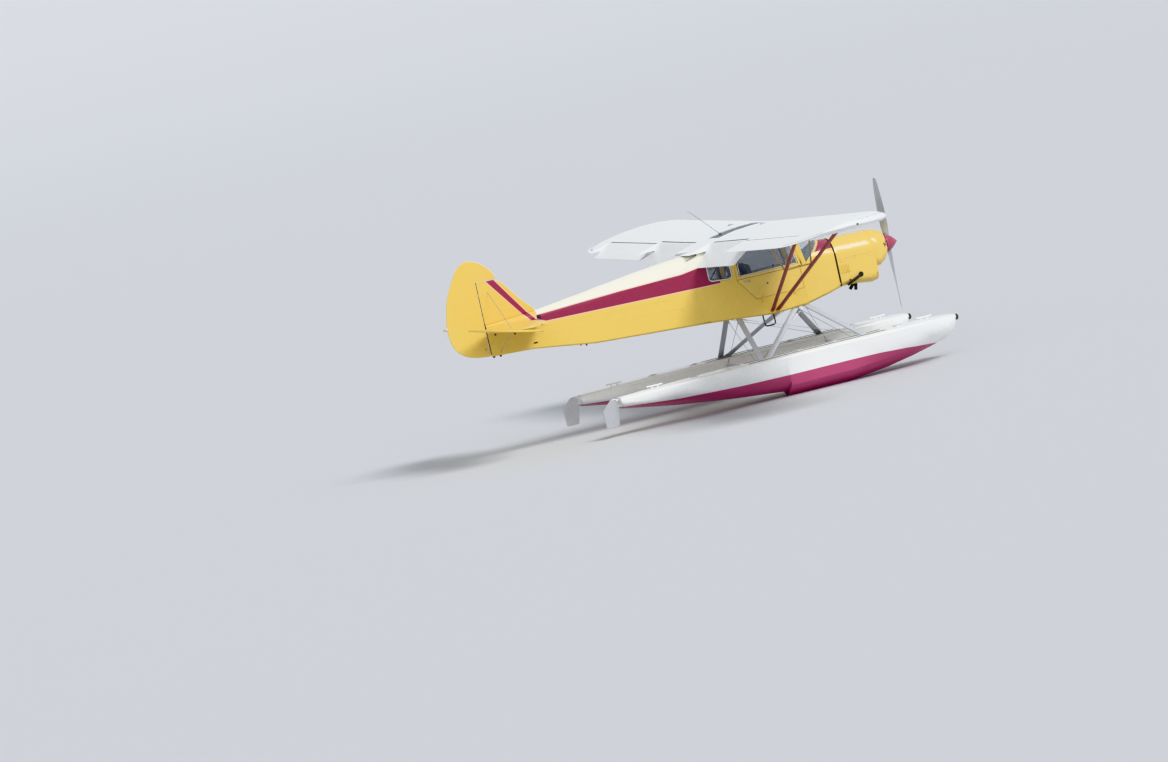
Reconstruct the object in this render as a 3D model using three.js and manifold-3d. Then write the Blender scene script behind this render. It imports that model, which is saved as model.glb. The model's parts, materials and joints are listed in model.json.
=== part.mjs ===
// A two-seat, high-wing, strut-braced light floatplane, parked level on its two floats.
// Lengths are in millimetres and +Z is up. Pieces are drawn in the fuselage's own frame, with the
// spinner's tip at x = 0, the nose towards +x, the left wing towards +y and the propeller's axis at
// z = 0. The last group lifts them so that the keels stand at z = 0 and the middle is at x = 0.

import * as THREE from 'three';
import { mergeVertices } from 'three/addons/utils/BufferGeometryUtils.js';
import Module from 'manifold-3d';

const wasm = await Module();
wasm.setup();

// Fits between pieces
const seat = 0.3; // between pieces that touch
const running = 5; // around pieces that move

// Wing
const halfSpan = 5365;
const wingChord = 1600;
const wingFront = -1660; // leading edge at the root
const wingUnderside = 550; // underside, carried forward to the leading edge
const incidence = THREE.MathUtils.degToRad(1.6);
const dihedral = THREE.MathUtils.degToRad(1);
const wingRoot = 359;
const tipStart = 4680;
const flapDrop = THREE.MathUtils.degToRad(33);
const aileronDrop = { left: THREE.MathUtils.degToRad(16), right: 0 };
const elevatorRise = THREE.MathUtils.degToRad(12);

// Cabin and fuselage
const cabinHalf = 355;
const wall = 22;
const firewallX = -1063;
const firewallThick = 10;
const bootFront = firewallX - firewallThick - seat;
const cabinFront = -1620;
const cabinRear = -3120;
const sternX = -6312;
const sternHalf = 45;
const floorSeam = 260; // half the width of the belly panel
const sill = 0; // lower edge of the windows

// Tail
const tailThick = 30;
const stabilizerZ = 100;
const elevatorX = -6270;
const rudderX = -6342;
const torqueTube = 14;

// Floats
const floatY = 1050;
const keelZ = -1730;
const shoe = 32; // half the width of the flat keel strip
const deckEdge = 50;
const deckRound = 80;
const sternFloatX = -4900;
const waterHingeX = -4942;

// The middle of the whole length, from the rudder's trailing edge to the bow bumpers
const middleX = 3286.6;

const paint = (color, roughness = 0.35, metalness = 0.1) =>
  new THREE.MeshStandardMaterial({ color, roughness, metalness });
const finish = {
  yellow: () => paint(0xf0b429),
  red: () => paint(0x8e1f3a),
  white: () => paint(0xf2f3f0),
  silver: () => paint(0xb9c0c4, 0.3, 0.9),
  steel: () => paint(0x6d7073, 0.5, 0.8),
  dark: () => paint(0x26282a, 0.7, 0.1),
  glass: () => paint(0xbfd0d4, 0.08, 0),
  fabric: () => paint(0x5a4a44, 0.9, 0),
};

const plane = new THREE.Group();
plane.position.set(middleX, 0, -keelZ);

const at = (x, y, z) => new THREE.Vector3(x, y, z);
const corners = (list) => list.map(([x, y]) => new THREE.Vector2(x, y));

const upright = at(0, 0, 1);
const alongY = at(0, 1, 0);

// Closed solids and the geometry made from them

function toSolid(geometry) {
  const bare = geometry.clone();
  bare.deleteAttribute('normal');
  bare.deleteAttribute('uv');
  const merged = mergeVertices(bare, 0.001);
  return new wasm.Manifold(new wasm.Mesh({
    numProp: 3,
    vertProperties: new Float32Array(merged.attributes.position.array),
    triVerts: new Uint32Array(merged.index.array),
  }));
}

function toGeometry(solid) {
  const mesh = solid.getMesh();
  const geometry = new THREE.BufferGeometry();
  geometry.setAttribute('position', new THREE.BufferAttribute(mesh.vertProperties, 3));
  geometry.setIndex(new THREE.BufferAttribute(mesh.triVerts, 1));
  return geometry;
}

function addPiece(parent, name, solid, material) {
  const mesh = new THREE.Mesh(toGeometry(solid), material);
  mesh.name = name;
  parent.add(mesh);
  return mesh;
}

const joined = (solids) => solids.reduce((whole, piece) => whole.add(piece));
const mirrored = (solid) => solid.mirror([0, 1, 0]);

function signedArea(points) {
  let area = 0;
  points.forEach((p, i) => {
    const q = points[(i + 1) % points.length];
    area += (p.x * q.y - q.x * p.y) / 2;
  });
  return area;
}

// A ring of points seen flat, along the axis that it faces most
function flattened(ring) {
  const normal = at(0, 0, 0);
  ring.forEach((p, i) => normal.add(at(0, 0, 0).crossVectors(p, ring[(i + 1) % ring.length])));
  const size = [Math.abs(normal.x), Math.abs(normal.y), Math.abs(normal.z)];
  const widest = size.indexOf(Math.max(...size));
  const pick = [(p) => [p.y, p.z], (p) => [p.z, p.x], (p) => [p.x, p.y]][widest];
  return ring.map((p) => new THREE.Vector2(...pick(p)));
}

// A closed solid skinned over rings of points, with flat ends
function loft(rings) {
  const count = rings[0].length;
  const triangles = [];
  for (let r = 0; r + 1 < rings.length; r += 1) {
    for (let i = 0; i < count; i += 1) {
      const a = r * count + i;
      const b = r * count + ((i + 1) % count);
      triangles.push([a, b, a + count], [b, b + count, a + count]);
    }
  }
  for (const [ring, first, direction] of [[rings[0], 0, -1], [rings.at(-1), (rings.length - 1) * count, 1]]) {
    const flat = flattened(ring);
    const turn = Math.sign(signedArea(flat));
    for (const [a, b, c] of THREE.ShapeUtils.triangulateShape(flat, [])) {
      const same = Math.sign(signedArea([flat[a], flat[b], flat[c]])) === turn * direction;
      triangles.push(same ? [first + a, first + b, first + c] : [first + a, first + c, first + b]);
    }
  }
  const points = rings.flat();
  const volume = triangles.reduce((sum, [a, b, c]) =>
    sum + points[a].dot(at(0, 0, 0).crossVectors(points[b], points[c])), 0);
  const geometry = new THREE.BufferGeometry().setFromPoints(points);
  geometry.setIndex(triangles.flatMap(([a, b, c]) => (volume > 0 ? [a, b, c] : [a, c, b])));
  return toSolid(geometry);
}

function block(x0, x1, y0, y1, z0, z1) {
  const geometry = new THREE.BoxGeometry(x1 - x0, y1 - y0, z1 - z0);
  geometry.translate((x0 + x1) / 2, (y0 + y1) / 2, (z0 + z1) / 2);
  return toSolid(geometry);
}

function rod(start, end, radius, sides = 16) {
  const along = end.clone().sub(start);
  const geometry = new THREE.CylinderGeometry(radius, radius, along.length(), sides);
  const turn = new THREE.Quaternion().setFromUnitVectors(at(0, 1, 0), along.normalize());
  geometry.applyQuaternion(turn);
  geometry.translate(...start.clone().add(end).multiplyScalar(0.5).toArray());
  return toSolid(geometry);
}

// An outline with its corners rounded, as a list of points
function rounded(outline, radius, steps = 4) {
  const points = corners(outline);
  return points.flatMap((corner, i) => {
    const before = points.at(i - 1);
    const after = points[(i + 1) % points.length];
    const enter = corner.clone().add(before.clone().sub(corner).setLength(radius));
    const leave = corner.clone().add(after.clone().sub(corner).setLength(radius));
    return new THREE.QuadraticBezierCurve(enter, corner, leave).getPoints(steps);
  });
}

// The same outline drawn in by a distance all round
function drawnIn(points, distance) {
  const inward = Math.sign(signedArea(points)) * distance;
  return points.map((corner, i) => {
    const before = corner.clone().sub(points.at(i - 1)).normalize();
    const after = points[(i + 1) % points.length].clone().sub(corner).normalize();
    const bend = 1 + before.dot(after);
    const offset = new THREE.Vector2(-before.y - after.y, before.x + after.x);
    return corner.clone().addScaledVector(offset, inward / bend);
  });
}

// Plates: an outline in side view (x, z), or in plan (x, y), with its edges cut back by a bevel
function plate(points, low, high, bevel, place) {
  const inner = bevel ? drawnIn(points, bevel) : points;
  const levels = bevel ? [[inner, low], [points, low + bevel], [points, high - bevel], [inner, high]]
    : [[points, low], [points, high]];
  return loft(levels.map(([outline, level]) => outline.map((p) => place(p, level))));
}

const sidePlate = (points, y0, y1, bevel = 0) => plate(points, y0, y1, bevel, (p, y) => at(p.x, y, p.y));
const planPlate = (points, z0, z1, bevel = 0) => plate(points, z0, z1, bevel, (p, z) => at(p.x, p.y, z));

// A round-edged bar between two points. Its chord lies fore and aft, and each end can be cut off
// along a plane, given as a point and a normal.
function bar(start, end, chord, thickness, startPlane, endPlane) {
  const axis = end.clone().sub(start).normalize();
  const along = at(1, 0, 0).addScaledVector(axis, -axis.x).normalize();
  const across = at(0, 0, 0).crossVectors(axis, along);
  const sides = 12;
  const ring = (centre, plane) => Array.from({ length: sides }, (_, i) => {
    const angle = (2 * Math.PI * i) / sides;
    const p = centre.clone()
      .addScaledVector(along, (Math.cos(angle) * chord) / 2)
      .addScaledVector(across, (Math.sin(angle) * thickness) / 2);
    if (plane) p.addScaledVector(axis, plane[0].clone().sub(p).dot(plane[1]) / axis.dot(plane[1]));
    return p;
  });
  return loft([ring(start, startPlane), ring(end, endPlane)]);
}

// A hinge eye with an arm to its carrier, and the slot that the moving piece has around it
function hingeEye(centre, axis, arm, radius, width) {
  const half = axis.clone().multiplyScalar(width / 2);
  const eye = rod(centre.clone().sub(half), centre.clone().add(half), radius);
  const side = at(0, 0, 0).crossVectors(axis, arm).setLength(radius * 0.8);
  const end = centre.clone().add(arm);
  const ring = (p) => [[1, 1], [1, -1], [-1, -1], [-1, 1]].map(([u, v]) =>
    p.clone().addScaledVector(half, u).addScaledVector(side, v));
  return eye.add(loft([ring(centre), ring(end)]));
}

function hingeSlot(centre, axis, radius, width) {
  const half = axis.clone().multiplyScalar(width / 2 + seat);
  return rod(centre.clone().sub(half), centre.clone().add(half), radius, 24);
}

// A value read from a table by straight lines between its rows, which run aft
function fromTable(rows, x, column) {
  const i = Math.max(1, rows.findIndex((row) => row[0] <= x));
  const [a, b] = [rows[i - 1], rows[i]];
  return a[column] + ((b[column] - a[column]) * (x - a[0])) / (b[0] - a[0]);
}

// A fuselage section: flat belly with round corners, straight sides and an arched top
function hullRing([x, half, bottom, shoulder, top, corner]) {
  const arc = (cy, cz, ry, rz, from, to, steps) => Array.from({ length: steps + 1 }, (_, i) => {
    const angle = from + ((to - from) * i) / steps;
    return at(x, cy + ry * Math.cos(angle), cz + rz * Math.sin(angle));
  });
  const side = [
    ...arc(half - corner, bottom + corner, corner, corner, -Math.PI / 2, 0, 4),
    ...arc(0, shoulder, half, top - shoulder, 0, Math.PI / 2, 7).slice(0, -1),
  ];
  return [at(x, 0, bottom), ...side, at(x, 0, top), ...side.reverse().map((p) => at(x, -p.y, p.z))];
}

const hull = (rows) => loft(rows.map(hullRing));
const shrunk = (rows, by) => rows.map(([x, half, bottom, shoulder, top, corner]) =>
  [x, half - by, bottom + by, shoulder, top - by, Math.max(4, corner - by)]);
const pastEnds = (rows, by) => rows.map((row, i) =>
  [row[0] + (i === 0 ? by : 0) - (i === rows.length - 1 ? by : 0), ...row.slice(1)]);

// Columns: x, half width, bottom, shoulder, top, corner radius
const bootRows = [
  [bootFront, 328, -450, 0, 272, 60],
  [-1240, 335, -492, 0, 285, 45],
  [cabinFront, cabinHalf, -570, 0, 285, 30],
];
const cabinRows = [
  [cabinFront - seat, cabinHalf, -570, 560, 600, 30],
  [-2160, cabinHalf, -600, 560, 600, 30],
  [-2740, cabinHalf, -545, 560, 600, 30],
  [cabinRear, cabinHalf, -515, 560, 600, 30],
];
const aftRows = [
  [cabinRear - seat, cabinHalf, -515, 470, 503, 30],
  [-3400, 328, -498, 300, 484, 30],
  [-4000, 270, -465, 215, 426, 30],
  [-4800, 192, -421, 150, 325, 30],
  [-5500, 124, -325, 122, 237, 25],
  [-5700, 104, -298, 120, 224, 20],
  [sternX, sternHalf, -270, 120, 185, 12],
];
const cowlRows = [
  [-470, 300, -466, -20, 262, 150],
  [-560, 314, -488, -20, 267, 140],
  [-800, 322, -456, -20, 270, 110],
  [firewallX + seat, 326, -442, -20, 271, 70],
];
const noseRows = [
  [-214, 150, -122, -5, 152, 90],
  [-240, 205, -160, -10, 190, 110],
  [-290, 258, -215, -15, 226, 130],
  [-380, 288, -282, -20, 256, 150],
  [-470 + seat, 298, -292, -20, 261, 150],
];

// Cabin walls, cut where the panels meet

const underWing = (x) => wingUnderside + Math.tan(incidence) * (x - wingFront);
const wingLine = (x) => [x, underWing(x) - seat];

// The windshield's foot, in side view: a straight line up from the sill to the top of the boot cowl
const windowSillRear = [-1545, sill];
const footSlope = 0.9213;
const footLine = (x, gap = 0) => [x, sill + footSlope * (x - windowSillRear[0]) + gap];

// Columns: x, z, seen from the side
const doorOpening = corners([
  [-1640, -330], [-2380, -330], [-2612, -12], [-2612, 470], [-1704, 470], [-1612, 5], [-1640, -12],
]);
const lowerDoor = corners([[-1640, -330], [-2380, -330], [-2612, -12], [-2612, 0], [-1640, 0]]);
const upperDoor = corners([[-2612, -3], [-2612, 470], [-1704, 470], [-1610, -3]]);
const frontWindow = rounded([[-2560, 25], [-2560, 465], [-1706, 465], [-1622, 25]], 30);
const rearWindow = rounded([[-2662, 30], [-3030, 60], [-3030, 450], [-2662, 465]], 70);

function cabinSide(openings) {
  const shell = hull(cabinRows).subtract(hull(pastEnds(shrunk(cabinRows, wall), 10)));
  const outline = corners([
    [cabinFront - seat, -700], [cabinRear, -700], wingLine(cabinRear), wingLine(-1652),
    [windowSillRear[0] - seat, sill + seat], [cabinFront - seat, sill + seat],
  ]);
  let side = shell.intersect(sidePlate(outline, floorSeam + seat, cabinHalf + 50));
  const post = corners([
    wingLine(-1652), [-1690, underWing(-1690) - seat], [-1600, sill + seat],
    [windowSillRear[0] - seat, sill + seat],
  ]);
  side = side.add(sidePlate(post, cabinHalf - wall, cabinHalf));
  for (const opening of openings) {
    side = side.subtract(sidePlate(opening, 0, cabinHalf + 50));
  }
  return side;
}

const strapPlaces = [-1760, -2260];
const lowerHinge = { y: cabinHalf + 9, z: -330 };
const upperHinge = { y: cabinHalf + 9, z: 473 };
const strapWide = 30;
const strapLong = 45;
const hingeRadius = 8;

// Hinge straps on the outer face: an eye on the axis, a strap along the skin and its foot in it.
// The direction is 1 for a strap that runs up from the hinge and -1 for one that runs down.
function hingeStraps(hinge, direction, shift) {
  return joined(strapPlaces.map((place) => {
    const x0 = place + shift - strapWide / 2;
    const x1 = x0 + strapWide;
    const span = (from) =>
      [hinge.z + direction * from, hinge.z + direction * strapLong].sort((a, b) => a - b);
    return rod(at(x0, hinge.y, hinge.z), at(x1, hinge.y, hinge.z), hingeRadius)
      .add(block(x0, x1, hinge.y - 7, hinge.y + 5, ...span(0)))
      .add(block(x0, x1, cabinHalf - 6, hinge.y, ...span(18)));
  }));
}
const besideDoor = -strapWide - seat;

addPiece(plane, 'cabin_side_left', cabinSide([frontWindow, rearWindow]), finish.yellow());
const rightWall = cabinSide([doorOpening, rearWindow])
  .add(hingeStraps(lowerHinge, -1, besideDoor))
  .add(hingeStraps(upperHinge, 1, besideDoor));
addPiece(plane, 'cabin_side_right', mirrored(rightWall), finish.yellow());

const lowerPanel = sidePlate(drawnIn(lowerDoor, running), cabinHalf - wall, cabinHalf)
  .add(hingeStraps(lowerHinge, 1, 0));
addPiece(plane, 'door_lower', mirrored(lowerPanel), finish.yellow());

const upperOutline = drawnIn(upperDoor, running);
const upperGlass = drawnIn(upperOutline, 34);
const upperPanel = sidePlate(upperOutline, cabinHalf - wall, cabinHalf)
  .subtract(sidePlate(upperGlass, 0, cabinHalf + 50))
  .add(hingeStraps(upperHinge, -1, 0));
addPiece(plane, 'door_upper', mirrored(upperPanel), finish.yellow());

const pane = (outline) => sidePlate(drawnIn(outline, seat), cabinHalf - 14, cabinHalf - 8);
addPiece(plane, 'window_left_front', pane(frontWindow), finish.glass());
addPiece(plane, 'window_left_rear', pane(rearWindow), finish.glass());
addPiece(plane, 'window_right_rear', mirrored(pane(rearWindow)), finish.glass());
addPiece(plane, 'window_right_front', mirrored(pane(upperGlass)), finish.glass());

// Belly panel, with the legs of both seats
const seatTop = -300;
const seats = [
  { name: 'seat_front', front: -1960, rear: -2330, half: 205, backTop: 210 },
  { name: 'seat_rear', front: -2660, rear: -2990, half: 215, backTop: 190 },
];
const legWide = 26;

function seatLegs({ front, rear, half }) {
  const rail = (x) => block(x - legWide, x, -half + 20, half - 20, seatTop - legWide, seatTop - seat);
  const leg = (x, y) => block(x - legWide, x, y - legWide / 2, y + legWide / 2, -590, seatTop - 10);
  const places = [front - 20, rear + 60];
  return joined(places.flatMap((x) => [rail(x), leg(x, half - 40), leg(x, 40 - half)])
    .concat(block(rear + 40, front - 30, -legWide / 2, legWide / 2, seatTop - legWide, seatTop - seat)));
}

const belly = hull(cabinRows)
  .intersect(block(cabinRear, cabinFront - seat, -floorSeam, floorSeam, -700, -480));
const bellyInside = hull(pastEnds(shrunk(cabinRows, wall), 10));
const legs = joined(seats.map(seatLegs)).intersect(hull(cabinRows));
addPiece(plane, 'cabin_floor', belly.subtract(bellyInside).add(legs), finish.yellow());

function seatPad({ front, rear, half, backTop }) {
  const lean = 60;
  const side = corners([
    [front, seatTop], [rear - 20, seatTop], [rear - 20 - lean, backTop], [rear + 50 - lean, backTop],
    [rear + 62, seatTop + 95], [front, seatTop + 95],
  ]);
  return sidePlate(side, -half, half, 12);
}
for (const place of seats) addPiece(plane, place.name, seatPad(place), finish.fabric());

// Boot cowl: the metal skin from the firewall to the cabin, cut away under the windshield
const aboveBoot = corners([footLine(-1100), windowSillRear, [-1700, sill], [-1700, 400]]);
const bootInside = hull(pastEnds(shrunk(bootRows, wall), 10));
const boot = hull(bootRows).subtract(bootInside).subtract(sidePlate(aboveBoot, -500, 500));
addPiece(plane, 'boot_cowl', boot, finish.yellow());

const firewall = hull([
  [firewallX, 327, -448, 0, 271.5, 60],
  [firewallX - firewallThick, 328, -450, 0, 272, 60],
]);
addPiece(plane, 'firewall', firewall, finish.silver());

// Instrument panel with its sloping cover, fitted inside the boot cowl
const panelSide = corners([
  [-1430, -110], [-1445, -110], [-1445, 65], [-1250, 235], [-1250, 220], [-1430, 52],
]);
const panelSpace = hull(shrunk(bootRows, wall + 2 * seat));
addPiece(plane, 'instrument_panel', sidePlate(panelSide, -400, 400).intersect(panelSpace), finish.dark());

// Windshield: a sheet that rises from the boot cowl's edge to the wing's leading edge. Its rows run past
// both ends, where the sheet is cut off at its foot, at the posts and in front of the wing.
// Columns as above
const windshieldRows = [
  [-1200, 325, -100, -31, 246, 4],
  [-1690, 349, -100, 587, 630, 4],
];
const glassThick = 6;
const windshieldTopX = wingFront + 3;
const postTop = wingLine(-1652);
const behindGlass = corners([
  footLine(-1100, 2 * seat), [windowSillRear[0] + seat, sill + 2 * seat],
  [postTop[0] + seat, postTop[1] + seat],
  [windshieldTopX, postTop[1] + seat], [windshieldTopX, 700], [-1750, 700], [-1750, -200], [-1100, -200],
]);
const windshield = hull(windshieldRows).subtract(hull(shrunk(windshieldRows, glassThick)))
  .subtract(sidePlate(behindGlass, -500, 500));
addPiece(plane, 'windshield', windshield, finish.glass());

// Aft fuselage, with eyes for the rudder and a hole for the elevators' torque tube
const rudderEye = 14;
const rudderEyeWide = 12;
const sternEyes = [-200, 20];
const finEye = 620;
const rudderArm = at(60, 0, 0);

const aft = hull(aftRows)
  .subtract(rod(at(elevatorX, -200, stabilizerZ), at(elevatorX, 200, stabilizerZ), torqueTube + 6, 20))
  .add(joined(sternEyes.map((z) =>
    hingeEye(at(rudderX, 0, z), upright, rudderArm, rudderEye, rudderEyeWide))));
addPiece(plane, 'fuselage_aft', aft, finish.yellow());

// Engine, its cowl and the nose

const cowlWall = 12;
const inside = (rows) => hull(pastEnds(shrunk(rows, cowlWall), 10));
const exhaustRoute = [
  at(-745, -150, -190 - seat), at(-745, -150, -290), at(-790, -150, -400), at(-905, -150, -520),
];
const exhaustFork = at(-840, -215, -535);
const exhaustRadius = 24;

const chinFront = block(-484, -440, -400, 400, -600, -292);
const cowlShell = hull(cowlRows).subtract(inside(cowlRows)
  .subtract(chinFront));
const intake = rounded([[-75, -345], [75, -345], [75, -425], [-75, -425]], 25);
const intakeHole = loft([-430, -520].map((x) => intake.map((p) => at(x, p.x, p.y))));
const exhaustHole = rod(at(-830, -164, -380), at(-830, -164, -520), 72);
// Bars across the air intake, and louvres on both cheeks
const grilleBars = joined([-408, -385, -362].map((z) => block(-481, -474, -82, 82, z - 3, z + 3)));
const louvre = { count: 7, first: -900, pitch: 22, wide: 10, low: -255, high: -145, inner: 312, outer: 329 };
const louvreRow = joined(Array.from({ length: louvre.count }, (_, i) => {
  const x = louvre.first - i * louvre.pitch;
  return block(x - louvre.wide, x, louvre.inner, louvre.outer, louvre.low, louvre.high);
}));
addPiece(plane, 'engine_cowl', cowlShell.subtract(intakeHole).subtract(exhaustHole)
  .add(joined([grilleBars, louvreRow, mirrored(louvreRow)])), finish.yellow());

const bowlInside = hull(shrunk(noseRows, cowlWall).map((row, i) => (i === 0 ? [-226, ...row.slice(1)]
  : i === noseRows.length - 1 ? [-480, ...row.slice(1)] : row)));
const inlets = [-1, 1].map((side) => rod(at(-200, side * 178, -8), at(-330, side * 178, -8), 62, 20));
const shaftHole = rod(at(-200, 0, 0), at(-260, 0, 0), 60, 24);
addPiece(plane, 'nose_bowl', hull(noseRows).subtract(bowlInside).subtract(joined([...inlets, shaftHole])),
  finish.yellow());

const spinnerBack = -200;
const backplate = 6;
const engine = joined([
  block(-960, -480, -240, 240, -190, 120),
  block(firewallX + seat, -950, -150, 150, -130, 60),
  rod(at(-490, 0, 0), at(spinnerBack + backplate, 0, 0), 40, 24),
]);
addPiece(plane, 'engine_block', engine, finish.steel());

function pipe(points, radius) {
  const knots = points.slice(1, -1).map((p) => toSolid(new THREE.IcosahedronGeometry(radius, 1)
    .translate(p.x, p.y, p.z)));
  const runs = points.slice(1).map((p, i) => rod(points[i], p, radius, 12));
  return joined([...runs, ...knots]);
}
addPiece(plane, 'exhaust_pipe', pipe(exhaustRoute, exhaustRadius)
  .add(rod(exhaustRoute[2], exhaustFork, exhaustRadius, 12)), finish.dark());

// Spinner and propeller

const spinnerRadius = 135;
const hubX = -146;
const hubRadius = 55;
const spinnerWall = 6;
const spinnerSteps = 7;

function spinnerProfile() {
  const curve = (inset) => Array.from({ length: spinnerSteps + 1 }, (_, i) => {
    const f = i / spinnerSteps;
    const length = -spinnerBack - (inset ? inset + backplate : 0);
    return new THREE.Vector2((spinnerRadius - inset) * Math.sin((Math.PI / 2) * f) ** 0.95,
      length * f + inset);
  });
  const outer = curve(0);
  const inner = curve(spinnerWall).reverse();
  return [...outer, new THREE.Vector2(45, -spinnerBack),
    new THREE.Vector2(45, -spinnerBack - backplate), ...inner];
}
const spinnerShell = toSolid(new THREE.LatheGeometry(spinnerProfile(), 24).rotateZ(Math.PI / 2));
const bladeSlot = block(spinnerBack + backplate, -96, -46, 46, -200, 200);
addPiece(plane, 'spinner', spinnerShell.subtract(bladeSlot), finish.red());

// Columns: distance from the axis, chord, pitch in degrees, thickness
const bladeRows = [
  [30, 66, 62, 46],
  [140, 92, 52, 38],
  [260, 132, 38, 26],
  [450, 152, 27, 18],
  [680, 142, 20, 13],
  [860, 112, 16, 10],
  [935, 84, 15, 8],
  [965, 40, 14, 5],
];

function bladeRing([distance, chord, pitch, thickness]) {
  const angle = THREE.MathUtils.degToRad(pitch);
  return Array.from({ length: 10 }, (_, i) => {
    const turn = (2 * Math.PI * i) / 10;
    const u = (Math.cos(turn) * chord) / 2;
    const v = (Math.sin(turn) * thickness) / 2;
    return at(hubX + u * Math.sin(angle) + v * Math.cos(angle), v * Math.sin(angle) - u * Math.cos(angle),
      distance);
  });
}
const blade = loft(bladeRows.map(bladeRing));
const hub = rod(at(spinnerBack + backplate + seat, 0, 0), at(-96, 0, 0), hubRadius, 20);
addPiece(plane, 'propeller', joined([blade, blade.rotate([180, 0, 0]), hub]), finish.silver());

// Wing, flaps and ailerons. Each hinged surface has a round nose, in a wider round slot in the wing.

// Columns: share of the chord, upper surface, lower surface, both as shares of the chord
const wingSection = [
  [0, 0.036, 0.036],
  [0.012, 0.062, 0.018],
  [0.05, 0.084, 0.006],
  [0.12, 0.102, 0.001],
  [0.22, 0.114, 0],
  [0.34, 0.116, 0],
  [0.5, 0.105, 0],
  [0.66, 0.081, 0],
  [0.82, 0.049, 0],
  [0.93, 0.022, 0],
  [1, 0.004, 0],
];

function sectionRing(y, front, chord, scale = 1) {
  const middle = 0.055 * wingChord;
  const point = (share, height) =>
    at(front - share * chord, y, middle + (height * wingChord - middle) * scale);
  const upper = wingSection.map(([share, high]) => point(share, high)).reverse();
  const lower = wingSection.slice(1).map(([share, , low]) => point(share, low));
  return [...upper, ...lower];
}

function wingRings() {
  const rings = [sectionRing(seat, 0, wingChord), sectionRing(tipStart - wingRoot, 0, wingChord)];
  for (const s of [0.35, 0.6, 0.8, 0.92, 0.98, 1]) {
    const fall = 1 - Math.sqrt(1 - s * s);
    const front = -0.42 * wingChord * fall;
    const chord = wingChord * (1 - 0.7 * fall);
    const y = tipStart + (halfSpan - tipStart) * s - wingRoot;
    rings.push(sectionRing(y, front, chord, 1 - 0.86 * fall));
  }
  return rings;
}

const surfaces = {
  flap: { x: -1206, z: 50, nose: 44, slot: 59, from: 45, to: 1810, eyes: [200, 930, 1660] },
  aileron: { x: -1262, z: 44, nose: 38, slot: 50, from: 1835, to: 4290, eyes: [2050, 3060, 4080] },
};
const surfaceEye = 15;
const surfaceEyeWide = 12;

function surfaceCut({ x, z, from, to }, radius, clear = 0) {
  const behind = block(-wingChord - 100, x, from - clear, to + clear, -100, 300);
  return behind.add(rod(at(x, from - clear, z), at(x, to + clear, z), radius, 24));
}

const wingPanel = loft([sectionRing(seat, 0, wingChord), sectionRing(tipStart - wingRoot, 0, wingChord)]);

function makeWing() {
  let wing = loft(wingRings());
  for (const s of Object.values(surfaces)) {
    wing = wing.subtract(surfaceCut(s, s.slot, running));
    const arms = s.eyes.map((y) =>
      hingeEye(at(s.x, y, s.z), alongY, at(80, 0, 0), surfaceEye, surfaceEyeWide));
    wing = wing.add(joined(arms));
  }
  return wing;
}

function makeSurface(s) {
  const slots = s.eyes.map((y) => hingeSlot(at(s.x, y, s.z), alongY, s.nose + 3, surfaceEyeWide));
  return wingPanel.intersect(surfaceCut(s, s.nose)).subtract(joined(slots)).translate([-s.x, 0, -s.z]);
}

const wing = makeWing();
const wingFrames = {};
for (const [side, sign] of [['left', 1], ['right', -1]]) {
  const handed = (solid) => (sign > 0 ? solid : mirrored(solid));
  const frame = new THREE.Group();
  frame.position.set(wingFront, sign * wingRoot, wingUnderside);
  frame.rotation.set(sign * dihedral, -incidence, 0);
  plane.add(frame);
  addPiece(frame, `wing_${side}`, handed(wing), finish.white());
  for (const [kind, s] of Object.entries(surfaces)) {
    const piece = addPiece(frame, `${kind}_${side}`, handed(makeSurface(s)), finish.white());
    piece.position.set(s.x, 0, s.z);
    piece.rotation.y = kind === 'aileron' ? -aileronDrop[side] : -flapDrop;
  }
  frame.updateMatrixWorld(true);
  frame.updateMatrix();
  wingFrames[side] = frame;
}

// Cabin roof: the wing's section carried over the cabin, with a skylight
const roofHalf = cabinHalf;
const skylightBox = { front: -340, rear: -1060, half: 262 };

function roofSpace() {
  const line = wingSection.filter(([share]) => share > 0.03 && share < 0.85);
  const top = line.map(([share, high]) => at(-share * wingChord, 0, high * wingChord - wall));
  const ring = (y) => [...top, at(top.at(-1).x, 0, -90), at(top[0].x, 0, -90)].map((p) => at(p.x, y, p.z));
  return loft([ring(-roofHalf + wall), ring(roofHalf - wall)]);
}
const roofSkin = loft([sectionRing(-roofHalf, 0, wingChord), sectionRing(roofHalf, 0, wingChord)])
  .subtract(roofSpace());
const skylightSolid = (shrink) => block(skylightBox.rear + shrink, skylightBox.front - shrink,
  -skylightBox.half + shrink, skylightBox.half - shrink, 40, 300);
const roof = new THREE.Group();
roof.position.set(wingFront, 0, wingUnderside);
roof.rotation.y = -incidence;
plane.add(roof);
addPiece(roof, 'cabin_roof', roofSkin.subtract(skylightSolid(0)), finish.white());
addPiece(roof, 'skylight', roofSkin.intersect(skylightSolid(seat)), finish.glass());

// Lift struts and jury struts

// A plane through the wing's underside on one side, a seat's gap below it
function undersidePlane(side) {
  const frame = wingFrames[side];
  const normal = at(0, 0, 1).applyEuler(frame.rotation);
  return [frame.position.clone().addScaledVector(normal, -seat), normal];
}

function onUnderside(side, x, y) {
  const [point, normal] = undersidePlane(side);
  return at(x, y, point.z - ((x - point.x) * normal.x + (y - point.y) * normal.y) / normal.z);
}

const liftStruts = {
  front: { footX: -2096, topX: -1950, topY: 3550, chord: 76, thick: 30 },
  rear: { footX: -2184, topX: -2590, topY: 3500, chord: 62, thick: 26 },
};
const liftFootZ = -545;

function liftStrutLine({ footX, topX, topY }, side, sign) {
  return [at(footX, sign * (cabinHalf + seat), liftFootZ), onUnderside(side, topX, sign * topY)];
}

const juryShare = 0.546;
const juryRadius = 9;

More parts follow.
